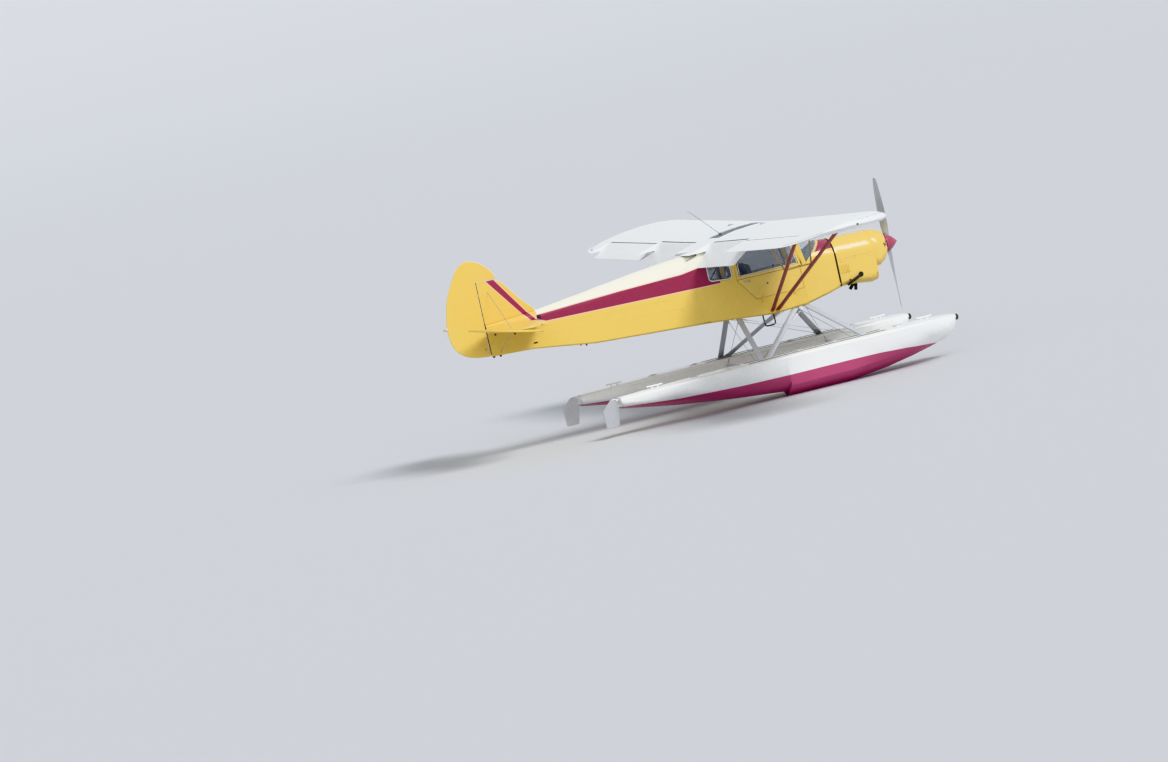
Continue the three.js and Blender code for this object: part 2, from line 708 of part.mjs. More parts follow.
for (const [side, sign] of [['left', 1], ['right', -1]]) {
  const wallPlane = [at(0, sign * (cabinHalf + seat), 0), at(0, 1, 0)];
  const uprights = [];
  const tieEnds = [];
  for (const [place, strut] of Object.entries(liftStruts)) {
    const [foot, top] = liftStrutLine(strut, side, sign);
    const piece = bar(foot, top, strut.chord, strut.thick, wallPlane, undersidePlane(side));
    addPiece(plane, `lift_strut_${place}_${side}`, piece, finish.red());
    // The jury strut stands on both lift struts and reaches the wing where its spars are
    const face = upright.clone().projectOnPlane(top.clone().sub(foot).normalize()).normalize();
    const start = foot.clone().lerp(top, juryShare).addScaledVector(face, strut.thick / 2 + seat);
    uprights.push(bar(start, onUnderside(side, strut.topX, start.y), 26, 2 * juryRadius,
      [start, face], undersidePlane(side)));
    tieEnds.push(start.clone().addScaledVector(face, juryRadius));
  }
  const tie = rod(...tieEnds, juryRadius, 12);
  addPiece(plane, `jury_strut_${side}`, joined([...uprights, tie]), finish.white());
}

// Tail

const finOutline = (() => {
  const shape = new THREE.Shape();
  shape.moveTo(-5540, fromTable(aftRows, -5540, 4) + seat);
  shape.splineThru(corners([[-5600, 305], [-5735, 450], [-5890, 660], [-5950, 735], [-6020, 775]]));
  shape.lineTo(-6306, 797);
  shape.lineTo(-6306, fromTable(aftRows, -6306, 4) + seat);
  return shape.getPoints(2);
})();
const fin = sidePlate(finOutline, -tailThick / 2, tailThick / 2, 6)
  .add(hingeEye(at(rudderX, 0, finEye), upright, rudderArm, rudderEye, rudderEyeWide));
addPiece(plane, 'fin', fin, finish.yellow());

const rudderOutline = (() => {
  const shape = new THREE.Shape();
  shape.moveTo(-6330, -262);
  shape.lineTo(-6330, 822);
  shape.lineTo(-6024, 806);
  shape.splineThru(corners([[-6040, 880], [-6115, 985], [-6205, 1062], [-6330, 1122], [-6430, 1130],
    [-6560, 1050], [-6680, 862], [-6780, 670], [-6842, 450], [-6872, 250], [-6858, 50], [-6800, -90],
    [-6680, -190], [-6520, -242], [-6340, -262]]));
  return shape.getPoints(3).filter((p, i, all) => i === 0 || p.distanceTo(all[i - 1]) > 8);
})();
const rudderSlots = [...sternEyes, finEye].map((z) =>
  hingeSlot(at(rudderX, 0, z), upright, rudderEye + 12, rudderEyeWide));
addPiece(plane, 'rudder', sidePlate(rudderOutline, -tailThick / 2, tailThick / 2, 6)
  .subtract(joined(rudderSlots)), finish.yellow());

const sternSide = (x) => fromTable(aftRows, x, 1) + seat;
const hornY = 1345;
const stabilizerOutline = rounded([
  [-5560, sternSide(-5560)], [elevatorX + 22, sternSide(elevatorX + 22)], [elevatorX + 22, hornY - 20],
  [-5860, hornY - 20], [-5725, 1250],
], 1, 1);
const elevatorEyes = [300, 820, 1290];
const elevatorEye = 12;

for (const [side, sign] of [['left', 1], ['right', -1]]) {
  const half = planPlate(stabilizerOutline, stabilizerZ - tailThick / 2, stabilizerZ + tailThick / 2)
    .add(joined(elevatorEyes.map((y) =>
      hingeEye(at(elevatorX, y, stabilizerZ), alongY, at(50, 0, 0), elevatorEye, surfaceEyeWide))));
  addPiece(plane, `stabilizer_${side}`, sign > 0 ? half : mirrored(half), finish.yellow());
}

// Both elevators are one piece with the torque tube. Here the hinge is at the origin.
const elevatorHalf = (() => {
  const shape = new THREE.Shape();
  shape.moveTo(8, 74);
  shape.lineTo(8, hornY);
  shape.lineTo(405, hornY);
  shape.splineThru(corners([[412, 1440], [330, 1545], [170, 1605], [0, 1610], [-150, 1560], [-290, 1430],
    [-370, 1200], [-395, 900], [-398, 500], [-392, 300]]));
  shape.lineTo(-380, 285);
  shape.lineTo(-20, 84);
  return shape.getPoints(3).filter((p, i, all) => i === 0 || p.distanceTo(all[i - 1]) > 8);
})();
const elevatorPlate = planPlate(elevatorHalf, -tailThick / 2, tailThick / 2, 6)
  .subtract(joined(elevatorEyes.map((y) => hingeSlot(at(0, y, 0), alongY, 24, surfaceEyeWide))));
const elevator = joined([elevatorPlate, mirrored(elevatorPlate),
  rod(at(0, -120, 0), at(0, 120, 0), torqueTube, 16)]);
const elevatorMesh = addPiece(plane, 'elevator', elevator, finish.yellow());
elevatorMesh.position.set(elevatorX, 0, stabilizerZ);
elevatorMesh.rotation.y = elevatorRise;

// Tail stays: fin to stabilizer above, fuselage to stabilizer below
const stayY = 900;
const stayX = -6180;
const stayRadius = 5;
for (const [side, sign] of [['left', 1], ['right', -1]]) {
  const up = stabilizerZ + tailThick / 2 + seat;
  const down = stabilizerZ - tailThick / 2 - seat;
  const finSide = sign * (tailThick / 2 + seat);
  const keelSide = sign * sternSide(stayX);
  const taper = (sternSide(stayX + 10) - sternSide(stayX - 10)) / 20;
  addPiece(plane, `tail_stay_upper_${side}`, bar(at(stayX, finSide, 640), at(stayX, sign * stayY, up),
    2 * stayRadius, 2 * stayRadius, [at(0, finSide, 0), alongY], [at(0, 0, up), upright]), finish.steel());
  addPiece(plane, `tail_stay_lower_${side}`, bar(at(stayX, keelSide, -230), at(stayX, sign * stayY, down),
    2 * stayRadius, 2 * stayRadius, [at(stayX, keelSide, 0), at(-taper, sign, 0)], [at(0, 0, down), upright]),
  finish.steel());
}

// Floats

// Columns: x, half beam, deck, chine, keel
const floatRows = [
  [262, 62, -1152, -1196, -1240],
  [200, 132, -1138, -1246, -1378],
  [60, 212, -1132, -1308, -1458],
  [-200, 278, -1130, -1380, -1524],
  [-500, 312, -1130, -1444, -1592],
  [-900, 328, -1132, -1504, -1664],
  [-1480, 330, -1135, -1556, keelZ],
  [-2450, 330, -1140, -1566, keelZ],
  [-2452, 326, -1140, -1532, -1664],
  [-3200, 302, -1150, -1482, -1592],
  [-4100, 232, -1165, -1410, -1482],
  [sternFloatX, 132, -1185, -1318, -1346],
];

function floatRing([x, half, deck, chine, keel]) {
  const edge = Math.min(deckEdge, (deck - chine) * 0.6);
  const top = half - Math.min(deckRound, half * 0.4);
  const side = [[shoe, keel], [half, chine], [half, deck - edge], [top, deck]];
  return [...side.map(([y, z]) => at(x, y, z)), ...side.reverse().map(([y, z]) => at(x, -y, z))];
}

// Deck gear, fused to the float: mooring cleats and round hatch covers
const cleatPlaces = [-200, -4350];
const cleat = { high: 36, half: 115, post: 45, radius: 9 };
const hatchPlaces = [-620, -1600, -2150, -3100, -3750];
const hatch = { radius: 62, high: 8 };
const sunk = 10;
const deckAt = (x) => fromTable(floatRows, x, 2);

function makeCleat(x) {
  const top = deckAt(x) + cleat.high;
  const posts = [-cleat.post, cleat.post].map((shift) =>
    rod(at(x + shift, 0, deckAt(x) - sunk), at(x + shift, 0, top), cleat.radius, 10));
  return joined([...posts, rod(at(x - cleat.half, 0, top), at(x + cleat.half, 0, top), cleat.radius, 10)]);
}

const makeHatch = (x) => rod(at(x, 0, deckAt(x) - sunk), at(x, 0, deckAt(x) + hatch.high), hatch.radius, 24);

const waterEyes = [-1215, -1300];
const waterEye = 14;
const floatHull = loft(floatRows.map(floatRing))
  .add(joined([...cleatPlaces.map(makeCleat), ...hatchPlaces.map(makeHatch)]))
  .add(joined(waterEyes.map((z) => hingeEye(at(waterHingeX, 0, z), upright, at(60, 0, 0), waterEye, 12))));

const waterOutline = rounded([
  [waterHingeX + 12, -1190], [waterHingeX + 12, -1330], [waterHingeX - 40, -1590],
  [waterHingeX - 225, -1590], [waterHingeX - 235, -1330], [waterHingeX - 90, -1190],
], 30);
const waterRudder = sidePlate(waterOutline, -6, 6)
  .subtract(joined(waterEyes.map((z) => hingeSlot(at(waterHingeX, 0, z), upright, 24, 12))));

const bumperOutline = rounded([[262 + seat, -1150], [262 + seat, -1242], [290, -1230], [300, -1196],
  [290, -1160]], 6);
const bumper = sidePlate(bumperOutline, -58, 58);

for (const [side, sign] of [['left', 1], ['right', -1]]) {
  const shift = [0, sign * floatY, 0];
  addPiece(plane, `float_${side}`, floatHull.translate(shift), finish.white());
  addPiece(plane, `water_rudder_${side}`, waterRudder.translate(shift), finish.silver());
  addPiece(plane, `bow_bumper_${side}`, bumper.translate(shift), finish.dark());
}

// Float struts and spreader bars

// A plane that follows a height column of a table, a seat's gap off it
function tablePlane(rows, column, x, gap) {
  const rise = (fromTable(rows, x + 10, column) - fromTable(rows, x - 10, column)) / 20;
  return [at(x, 0, fromTable(rows, x, column) + gap), at(-rise, 0, 1)];
}

const floatStrutTopY = 300;
// Columns: name, x on the fuselage, x on the deck
const floatStruts = [
  ['front', -1672, -1140],
  ['middle', -1815, -2600],
  ['rear', -2690, -2700],
];
for (const [side, sign] of [['left', 1], ['right', -1]]) {
  for (const [place, topX, deckX] of floatStruts) {
    const bellyPlane = tablePlane(cabinRows, 2, topX, -seat);
    const deckPlane = tablePlane(floatRows, 2, deckX, seat);
    const top = at(topX, sign * floatStrutTopY, bellyPlane[0].z);
    const foot = at(deckX, sign * (floatY - 40), deckPlane[0].z);
    addPiece(plane, `float_strut_${place}_${side}`, bar(top, foot, 84, 34, bellyPlane, deckPlane),
      finish.silver());
  }
}

const spreaderZ = -1240;
const spreader = { chord: 60, thick: 34 };
for (const [place, x] of [['front', -1140], ['rear', -2690]]) {
  const reach = (sign) => {
    const lean = (fromTable(floatRows, x + 10, 1) - fromTable(floatRows, x - 10, 1)) / 20;
    return [at(x, sign * (floatY - fromTable(floatRows, x, 1) - seat), 0), at(lean, sign, 0)];
  };
  const ends = [1, -1].map((sign) => at(x, sign * (floatY - 330), spreaderZ));
  addPiece(plane, `spreader_bar_${place}`,
    bar(ends[0], ends[1], spreader.chord, spreader.thick, reach(1), reach(-1)), finish.silver());
}

// Boarding step: a bent tube under the right side of the cabin
const stepPath = new THREE.CurvePath();
const stepX = [-2170, -2330];
const stepLow = -745;
const stepTop = stepX.map((x) => fromTable(cabinRows, x, 2) - seat);
const stepBend = 40;
const stepY = -310;
const stepOut = stepY - 20;
const stepCorner = (x, inward) => new THREE.QuadraticBezierCurve3(...[
  at(x, stepOut, stepLow + stepBend), at(x, stepOut, stepLow), at(x + inward * stepBend, stepOut, stepLow)]);
stepPath.add(new THREE.LineCurve3(at(stepX[0], stepY, stepTop[0]),
  at(stepX[0], stepOut, stepLow + stepBend)));
stepPath.add(stepCorner(stepX[0], -1));
stepPath.add(new THREE.LineCurve3(at(stepX[0] - stepBend, stepOut, stepLow),
  at(stepX[1] + stepBend, stepOut, stepLow)));
const stepReturn = stepCorner(stepX[1], 1);
stepPath.add(new THREE.QuadraticBezierCurve3(stepReturn.v2, stepReturn.v1, stepReturn.v0));
stepPath.add(new THREE.LineCurve3(at(stepX[1], stepOut, stepLow + stepBend),
  at(stepX[1], stepY, stepTop[1])));
const stepSection = new THREE.Shape().absarc(0, 0, 11, 0, 2 * Math.PI);
const stepTube = new THREE.ExtrudeGeometry(stepSection,
  { extrudePath: stepPath, steps: 24, curveSegments: 4 });
const stepRoom = hull(cabinRows.map((row) => [row[0], row[1] + seat, row[2] - seat, ...row.slice(3)]));
addPiece(plane, 'boarding_step', toSolid(stepTube).subtract(stepRoom), finish.dark());

export default plane;
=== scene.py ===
import json
import math

import bmesh
import bpy
from mathutils import Matrix, Vector
from mathutils.bvhtree import BVHTree


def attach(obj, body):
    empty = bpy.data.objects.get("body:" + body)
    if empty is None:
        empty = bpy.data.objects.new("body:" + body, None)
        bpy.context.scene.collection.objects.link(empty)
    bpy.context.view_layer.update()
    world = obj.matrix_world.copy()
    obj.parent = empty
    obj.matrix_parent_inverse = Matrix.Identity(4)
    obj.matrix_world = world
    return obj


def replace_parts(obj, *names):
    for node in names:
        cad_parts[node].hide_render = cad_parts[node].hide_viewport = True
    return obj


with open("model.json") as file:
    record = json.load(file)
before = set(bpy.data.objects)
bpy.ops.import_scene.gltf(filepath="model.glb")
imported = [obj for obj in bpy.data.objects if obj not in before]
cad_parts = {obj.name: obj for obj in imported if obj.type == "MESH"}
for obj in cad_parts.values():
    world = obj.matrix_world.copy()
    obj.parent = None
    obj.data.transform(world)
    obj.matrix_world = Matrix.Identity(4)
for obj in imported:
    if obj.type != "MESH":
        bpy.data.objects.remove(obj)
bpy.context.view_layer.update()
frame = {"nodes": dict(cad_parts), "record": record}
nodes = frame["nodes"]
scene = bpy.context.scene
print("frame loaded:", len(nodes), "nodes")

# Places are given from the spinner's tip, in metres: x runs forward, z up from the propeller's axis
noseShift = Vector((3.2866, 0.0, 1.73))
sides = {"left": 1, "right": -1}
signs = (1, -1)


def spot(x, y, z):
    return Vector((x, y, z)) + noseShift


def sideSpot(x, z, y):
    # For an outline drawn from the side, with its depth last
    return spot(x, y, z)


def frontSpot(y, z, x):
    # For an outline drawn from the front, with its depth last
    return spot(x, y, z)


def spots(points, sign=1):
    # Many places at once; sign -1 mirrors them to the other side
    return [spot(x, sign * y, z) for x, y, z in points]


def steps(low, high, count):
    # Numbers at even steps, both ends included
    return [low + (high - low) * i / (count - 1) for i in range(count)]


def circle(count):
    # Cosine and sine at even steps round a full turn
    return [(math.cos(a), math.sin(a)) for a in (2 * math.pi * i / count for i in range(count))]


def arc(low, high, count):
    # Cosine and sine at even steps between two angles in degrees
    return [(math.cos(a), math.sin(a)) for a in map(math.radians, steps(low, high, count))]


def addObject(name, data):
    thing = bpy.data.objects.new(name, data)
    scene.collection.objects.link(thing)
    return thing


# Camera: where the photograph was taken from, rolled as it was held
view = {"turn": -16.3, "rise": 3.6, "roll": -12.4, "distance": 90.0, "lens": 192.65, "farthest": 1000,
        "aim": (-3.4, 0.0, 0.0), "right": 1.362, "up": 1.273}


def makeCamera():
    turn, rise, roll = (math.radians(view[k]) for k in ("turn", "rise", "roll"))
    back = Vector((math.sin(turn) * math.cos(rise), -math.cos(turn) * math.cos(rise), math.sin(rise)))
    across = (-back).cross(Vector((0, 0, 1))).normalized()
    upward = across.cross(-back)
    right = across * math.cos(roll) + upward * math.sin(roll)
    up = upward * math.cos(roll) - across * math.sin(roll)
    aim = spot(*view["aim"])
    place = aim + back * view["distance"]
    behind = (place - (aim - right * view["right"] - up * view["up"])).normalized()
    up = (up - behind * up.dot(behind)).normalized()
    turned = Matrix((up.cross(behind), up, behind)).transposed().to_4x4()
    camera = addObject("camera", bpy.data.cameras.new("camera"))
    camera.matrix_world = Matrix.Translation(place) @ turned
    camera.data.lens = view["lens"]
    camera.data.clip_end = view["farthest"]
    scene.camera = camera


makeCamera()

# Floor and light
studio = {"flat": 170, "rim": 420, "rise": 110, "sectors": 96, "rings": 16,
          "floor": (0.56, 0.57, 0.59), "floorRoughness": 0.85,
          "air": (0.90, 0.94, 1.0), "airStrength": 0.60, "colors": "Khronos PBR Neutral",
          "suns": {"key": (2.35, 22, (43, 8, 20)), "fill": (0.95, 50, (70, 0, -22))}}


def newMaterial(name):
    material = bpy.data.materials.new(name)
    material.use_nodes = True
    return material, material.node_tree, material.node_tree.nodes["Principled BSDF"]


def makeStudio():
    # A wide dish: flat under the object and rising far out, so that its edge never shows
    flat, rim, rise, count = (studio[k] for k in ("flat", "rim", "rise", "sectors"))
    rings = [(flat + (rim - flat) * t, rise * t * t) for t in steps(0, 1, studio["rings"] + 1)]
    verts = [(0.0, 0.0, 0.0)]
    verts += [(radius * c, radius * s, height) for radius, height in rings for c, s in circle(count)]
    faces = []
    for i in range(count):
        after = (i + 1) % count
        faces.append((0, 1 + i, 1 + after))
        for low in range(1, 1 + count * studio["rings"], count):
            high = low + count
            faces.append((low + i, high + i, high + after, low + after))
    mesh = bpy.data.meshes.new("floor")
    mesh.from_pydata(verts, [], faces)
    mesh.shade_smooth()
    paint, _, shader = newMaterial("floorPaint")
    shader.inputs["Base Color"].default_value = (*studio["floor"], 1)
    shader.inputs["Roughness"].default_value = studio["floorRoughness"]
    mesh.materials.append(paint)
    floor = addObject("floor", mesh)
    world = bpy.data.worlds.new("air")
    world.use_nodes = True
    air = world.node_tree.nodes["Background"].inputs
    air["Color"].default_value = (*studio["air"], 1)
    air["Strength"].default_value = studio["airStrength"]
    scene.world = world
    scene.view_settings.view_transform = studio["colors"]  # paints keep their strength in bright light
    for name, (energy, spread, angles) in studio["suns"].items():
        lamp = bpy.data.lights.new(name, "SUN")
        lamp.energy, lamp.angle = energy, math.radians(spread)
        addObject(name, lamp).rotation_euler = [math.radians(a) for a in angles]


makeStudio()
print("camera and studio ready")

# Node trees: shader groups put out masks, colours or heights that change over the surface


def newTree(name, kind, inputs, outputs):
    tree = bpy.data.node_groups.new(name, kind)
    for flow, sockets in (("INPUT", inputs), ("OUTPUT", outputs)):
        for label, socket in sockets.items():
            tree.interface.new_socket(label, in_out=flow, socket_type="NodeSocket" + socket)
    return tree, tree.nodes.new("NodeGroupInput").outputs, tree.nodes.new("NodeGroupOutput").inputs


def feed(tree, socket, value):
    if isinstance(value, bpy.types.NodeSocket):
        tree.links.new(value, socket)
    else:
        socket.default_value = value


def addNode(tree, kind, values=None, **settings):
    node = tree.nodes.new(kind)
    for key, value in settings.items():
        setattr(node, key, value)
    for key, value in (values or {}).items():
        feed(tree, node.inputs[key], value)
    return node


def work(tree, operation, *values):
    return addNode(tree, "ShaderNodeMath", dict(enumerate(values)), operation=operation).outputs[0]


def mapRange(tree, value, low, high, toLow=0.0, toHigh=1.0):
    values = {"Value": value, "From Min": low, "From Max": high, "To Min": toLow, "To Max": toHigh}
    return addNode(tree, "ShaderNodeMapRange", values).outputs["Result"]


def noise(tree, where, scale, detail, rough=0.5):
    values = {"Scale": scale, "Detail": detail, "Roughness": rough}
    if where:
        values["Vector"] = where
    return addNode(tree, "ShaderNodeTexNoise", values).outputs["Fac"]


def blendColor(tree, mask, low, high):
    low, high = (c if isinstance(c, bpy.types.NodeSocket) else (*c, 1) for c in (low, high))
    return addNode(tree, "ShaderNodeMix", {0: mask, 6: low, 7: high}, data_type="RGBA").outputs[2]


def objectPlace(tree):
    return addNode(tree, "ShaderNodeTexCoord").outputs["Object"]


def makeWeave():
    # Fine crossed threads under the dope, with slow sagging between the frames
    tree, given, out = newTree("clothWeave", "ShaderNodeTree", {"Threads": "Float", "Slack": "Float"},
                               {"Height": "Float"})
    where = objectPlace(tree)
    bands = [addNode(tree, "ShaderNodeTexWave", {"Vector": where, "Scale": given["Threads"]},
                     bands_direction=axis, wave_profile="SIN").outputs["Fac"] for axis in "XZ"]
    slow = work(tree, "MULTIPLY", noise(tree, where, 3.1, 3.0), given["Slack"])
    feed(tree, out["Height"], work(tree, "MULTIPLY_ADD", work(tree, "MAXIMUM", *bands), 0.02, slow))
    return tree


def makeGrime():
    # Dull patches and thin streaks that run down and aft
    tree, given, out = newTree(
        "grime", "ShaderNodeTree", {"Base": "Color", "Grime": "Color", "Amount": "Float", "Gloss": "Float"},
        {"Color": "Color", "Roughness": "Float"})
    where = objectPlace(tree)
    stretch = addNode(tree, "ShaderNodeMapping", {"Vector": where, "Scale": (2.0, 7.0, 1.1)})
    streaks = noise(tree, stretch.outputs["Vector"], 4.0, 8.0, 0.7)
    patches = noise(tree, where, 26.0, 5.0)
    dirt = mapRange(tree, work(tree, "MULTIPLY", streaks, patches), 0.18, 0.5)
    amount = work(tree, "MULTIPLY", dirt, given["Amount"])
    feed(tree, out["Color"], blendColor(tree, amount, given["Base"], given["Grime"]))
    feed(tree, out["Roughness"], work(tree, "MULTIPLY_ADD", dirt, 0.18, given["Gloss"]))
    return tree


def makeRipple():
    # Sheet metal that was beaten and riveted: long shallow waves and orange peel
    tree, given, out = newTree("sheetRipple", "ShaderNodeTree", {"Waves": "Float", "Peel": "Float"},
                               {"Height": "Float"})
    where = objectPlace(tree)
    waves = noise(tree, where, given["Waves"], 1.0)
    peel = noise(tree, where, 420.0, 2.0)
    feed(tree, out["Height"], work(tree, "MULTIPLY_ADD", peel, given["Peel"], waves))
    return tree


weaveGroup, grimeGroup, rippleGroup = makeWeave(), makeGrime(), makeRipple()


def useGroup(tree, group, **values):
    return addNode(tree, "ShaderNodeGroup", values, node_tree=group).outputs


# Paint schemes: masks read the drawing's own lengths from Object coordinates
colors = {
    # The near white deck colour is painted sunlight on the fuselage's top, over its yellow
    "yellow": (0.86, 0.61, 0.145), "sunlitTop": (0.94, 0.91, 0.78), "burgundy": (0.31, 0.042, 0.090),
    # The near black tint for the stripe's aft end is a painted shadow
    "darkEnd": (0.06, 0.02, 0.03), "pinkEdge": (0.90, 0.60, 0.48), "white": (0.93, 0.94, 0.93),
    # The floats' red bottom is lighter and pinker than the stripe's burgundy: red paint with painted light on
    # the downward faces
    "earth": (0.22, 0.17, 0.11), "keelRedAndUnderLight": (0.46, 0.068, 0.17), "spinnerRed": (0.41, 0.070, 0.130),
    "cabinGrey": (0.20, 0.21, 0.20),
}

# The side stripe's lower and upper edge, the fin's stripe and the levels where paints meet, with the reach of
# the painted sunlight on the top and the length of the painted shadow at the stripe's aft end
stripe = {
    "lower": [(-5.60, 0.06), (-2.97, 0.02)],
    "upper": [(-5.60, 0.165), (-4.32, 0.23), (-3.4, 0.26), (-3.08, 0.31)],
    "ends": (-5.575, -2.86), "sunlitTop": (-5.56, -2.7), "edge": 0.011, "dark": 0.06,
    "finAft": [(0.09, -5.646), (0.797, -6.173)], "finFore": [(0.09, -5.576), (0.797, -6.057)],
    "bootLine": 0.135, "bellyLine": -0.495,
}

# The red bottom's upper edge on the floats, which meets the keel below the bow
bootTop = [(-4.9, -1.318), (-4.1, -1.385), (-3.2, -1.415), (-2.45, -1.422), (-1.48, -1.416), (-1.05, -1.420),
           (-0.63, -1.441), (-0.15, -1.487), (0.10, -1.530)]


def paintPlace(tree):
    parts = addNode(tree, "ShaderNodeSeparateXYZ", {"Vector": objectPlace(tree)}).outputs
    return [work(tree, "SUBTRACT", parts[axis], getattr(noseShift, axis.lower())) for axis in "XZ"]


def followLine(tree, x, points):
    # A height that follows straight lines between points, which run forward
    (x0, _), (x1, _) = points[0], points[-1]
    low, high = min(p[1] for p in points), max(p[1] for p in points) + 1e-4
    curve = addNode(tree, "ShaderNodeFloatCurve", {"Value": mapRange(tree, x, x0, x1)})
    knots = curve.mapping.curves[0].points
    for i, (px, pz) in enumerate(points):
        at = ((px - x0) / (x1 - x0), (pz - low) / (high - low))
        if i in (0, len(points) - 1):
            knots[0 if i == 0 else -1].location = at
        else:
            knots.new(*at)
    for knot in knots:
        knot.handle_type = "VECTOR"
    curve.mapping.update()
    return work(tree, "MULTIPLY_ADD", curve.outputs["Value"], high - low, low)


def over(tree, value, edge, soft=0.003):
    # 1 where value is past the edge
    return mapRange(tree, work(tree, "SUBTRACT", value, edge), -soft, soft)


def allOf(tree, *masks):
    result = masks[0]
    for mask in masks[1:]:
        result = work(tree, "MULTIPLY", result, mask)
    return result


def bandMask(tree, along, value, low, high, ends, extra=0.0):
    # Between two lines, widened by extra at both, and between two ends
    below = work(tree, "SUBTRACT", followLine(tree, along, low), extra)
    above = work(tree, "ADD", followLine(tree, along, high), extra)
    return allOf(tree, over(tree, value, below), over(tree, above, value),
                 over(tree, along, ends[0]), over(tree, ends[1], along))


def stripeMask(tree, x, z, extra=0.0):
    first, last = stripe["ends"]
    return bandMask(tree, x, z, stripe["lower"], stripe["upper"], (first - extra, last), extra)


def finMask(tree, x, z, extra=0.0):
    (low, _), (high, _) = stripe["finAft"]
    return bandMask(tree, z, x, stripe["finAft"], stripe["finFore"], (low, high), extra)


def paintFuselage(tree, base):
    x, z = paintPlace(tree)
    # Above the stripe's upper edge, between the tail and the cabin, the top is painted near white: painted
    # sunlight
    first, last = stripe["sunlitTop"]
    top = allOf(tree, over(tree, z, followLine(tree, x, stripe["upper"])), over(tree, x, first),
                over(tree, last, x))
    color = blendColor(tree, top, base, colors["sunlitTop"])
    for mask in (stripeMask, finMask):
        color = blendColor(tree, mask(tree, x, z, stripe["edge"]), color, colors["pinkEdge"])
        color = blendColor(tree, mask(tree, x, z), color, colors["burgundy"])
    # The stripe's aft 6 cm, where it meets the stabilizer, are painted near black: a painted shadow
    dark = allOf(tree, stripeMask(tree, x, z), over(tree, stripe["ends"][0] + stripe["dark"], x, 0.01))
    return blendColor(tree, dark, color, colors["darkEnd"])


def paintBoot(tree, base):
    x, z = paintPlace(tree)
    return blendColor(tree, over(tree, z, stripe["bootLine"]), base, colors["burgundy"])


def paintBelly(tree, base):
    # The belly's cloth outside, and plain grey on what stands inside the cabin
    x, z = paintPlace(tree)
    return blendColor(tree, over(tree, z, stripe["bellyLine"]), base, colors["cabinGrey"])


def paintFloat(tree, base):
    x, z = paintPlace(tree)
    # Red paint below the boot line, lightened as painted light on the downward faces
    return blendColor(tree, over(tree, followLine(tree, x, bootTop), z), base, colors["keelRedAndUnderLight"])


def makeMaterial(name, base, roughness, grime, paint=None, weave=None, ripple=None, bump=0.2, distance=0.002,
                 **shaderValues):
    material, tree, shader = newMaterial(name)
    color = blendColor(tree, noise(tree, None, 1.7, 2.0), base, tuple(c * 0.9 for c in base))
    if paint:
        color = paint(tree, color)
    dirt = useGroup(tree, grimeGroup, Base=color, Grime=(*colors["earth"], 1), Amount=grime, Gloss=roughness)
    feed(tree, shader.inputs["Base Color"], dirt["Color"])
    feed(tree, shader.inputs["Roughness"], dirt["Roughness"])
    if weave:
        height = useGroup(tree, weaveGroup, Threads=weave[0], Slack=weave[1])["Height"]
    else:
        height = useGroup(tree, rippleGroup, Waves=ripple[0], Peel=ripple[1])["Height"]
    relief = addNode(tree, "ShaderNodeBump", {"Strength": bump, "Distance": distance, "Height": height})
    feed(tree, shader.inputs["Normal"], relief.outputs["Normal"])
    for key, value in shaderValues.items():
        shader.inputs[key.replace("_", " ")].default_value = value
    return material


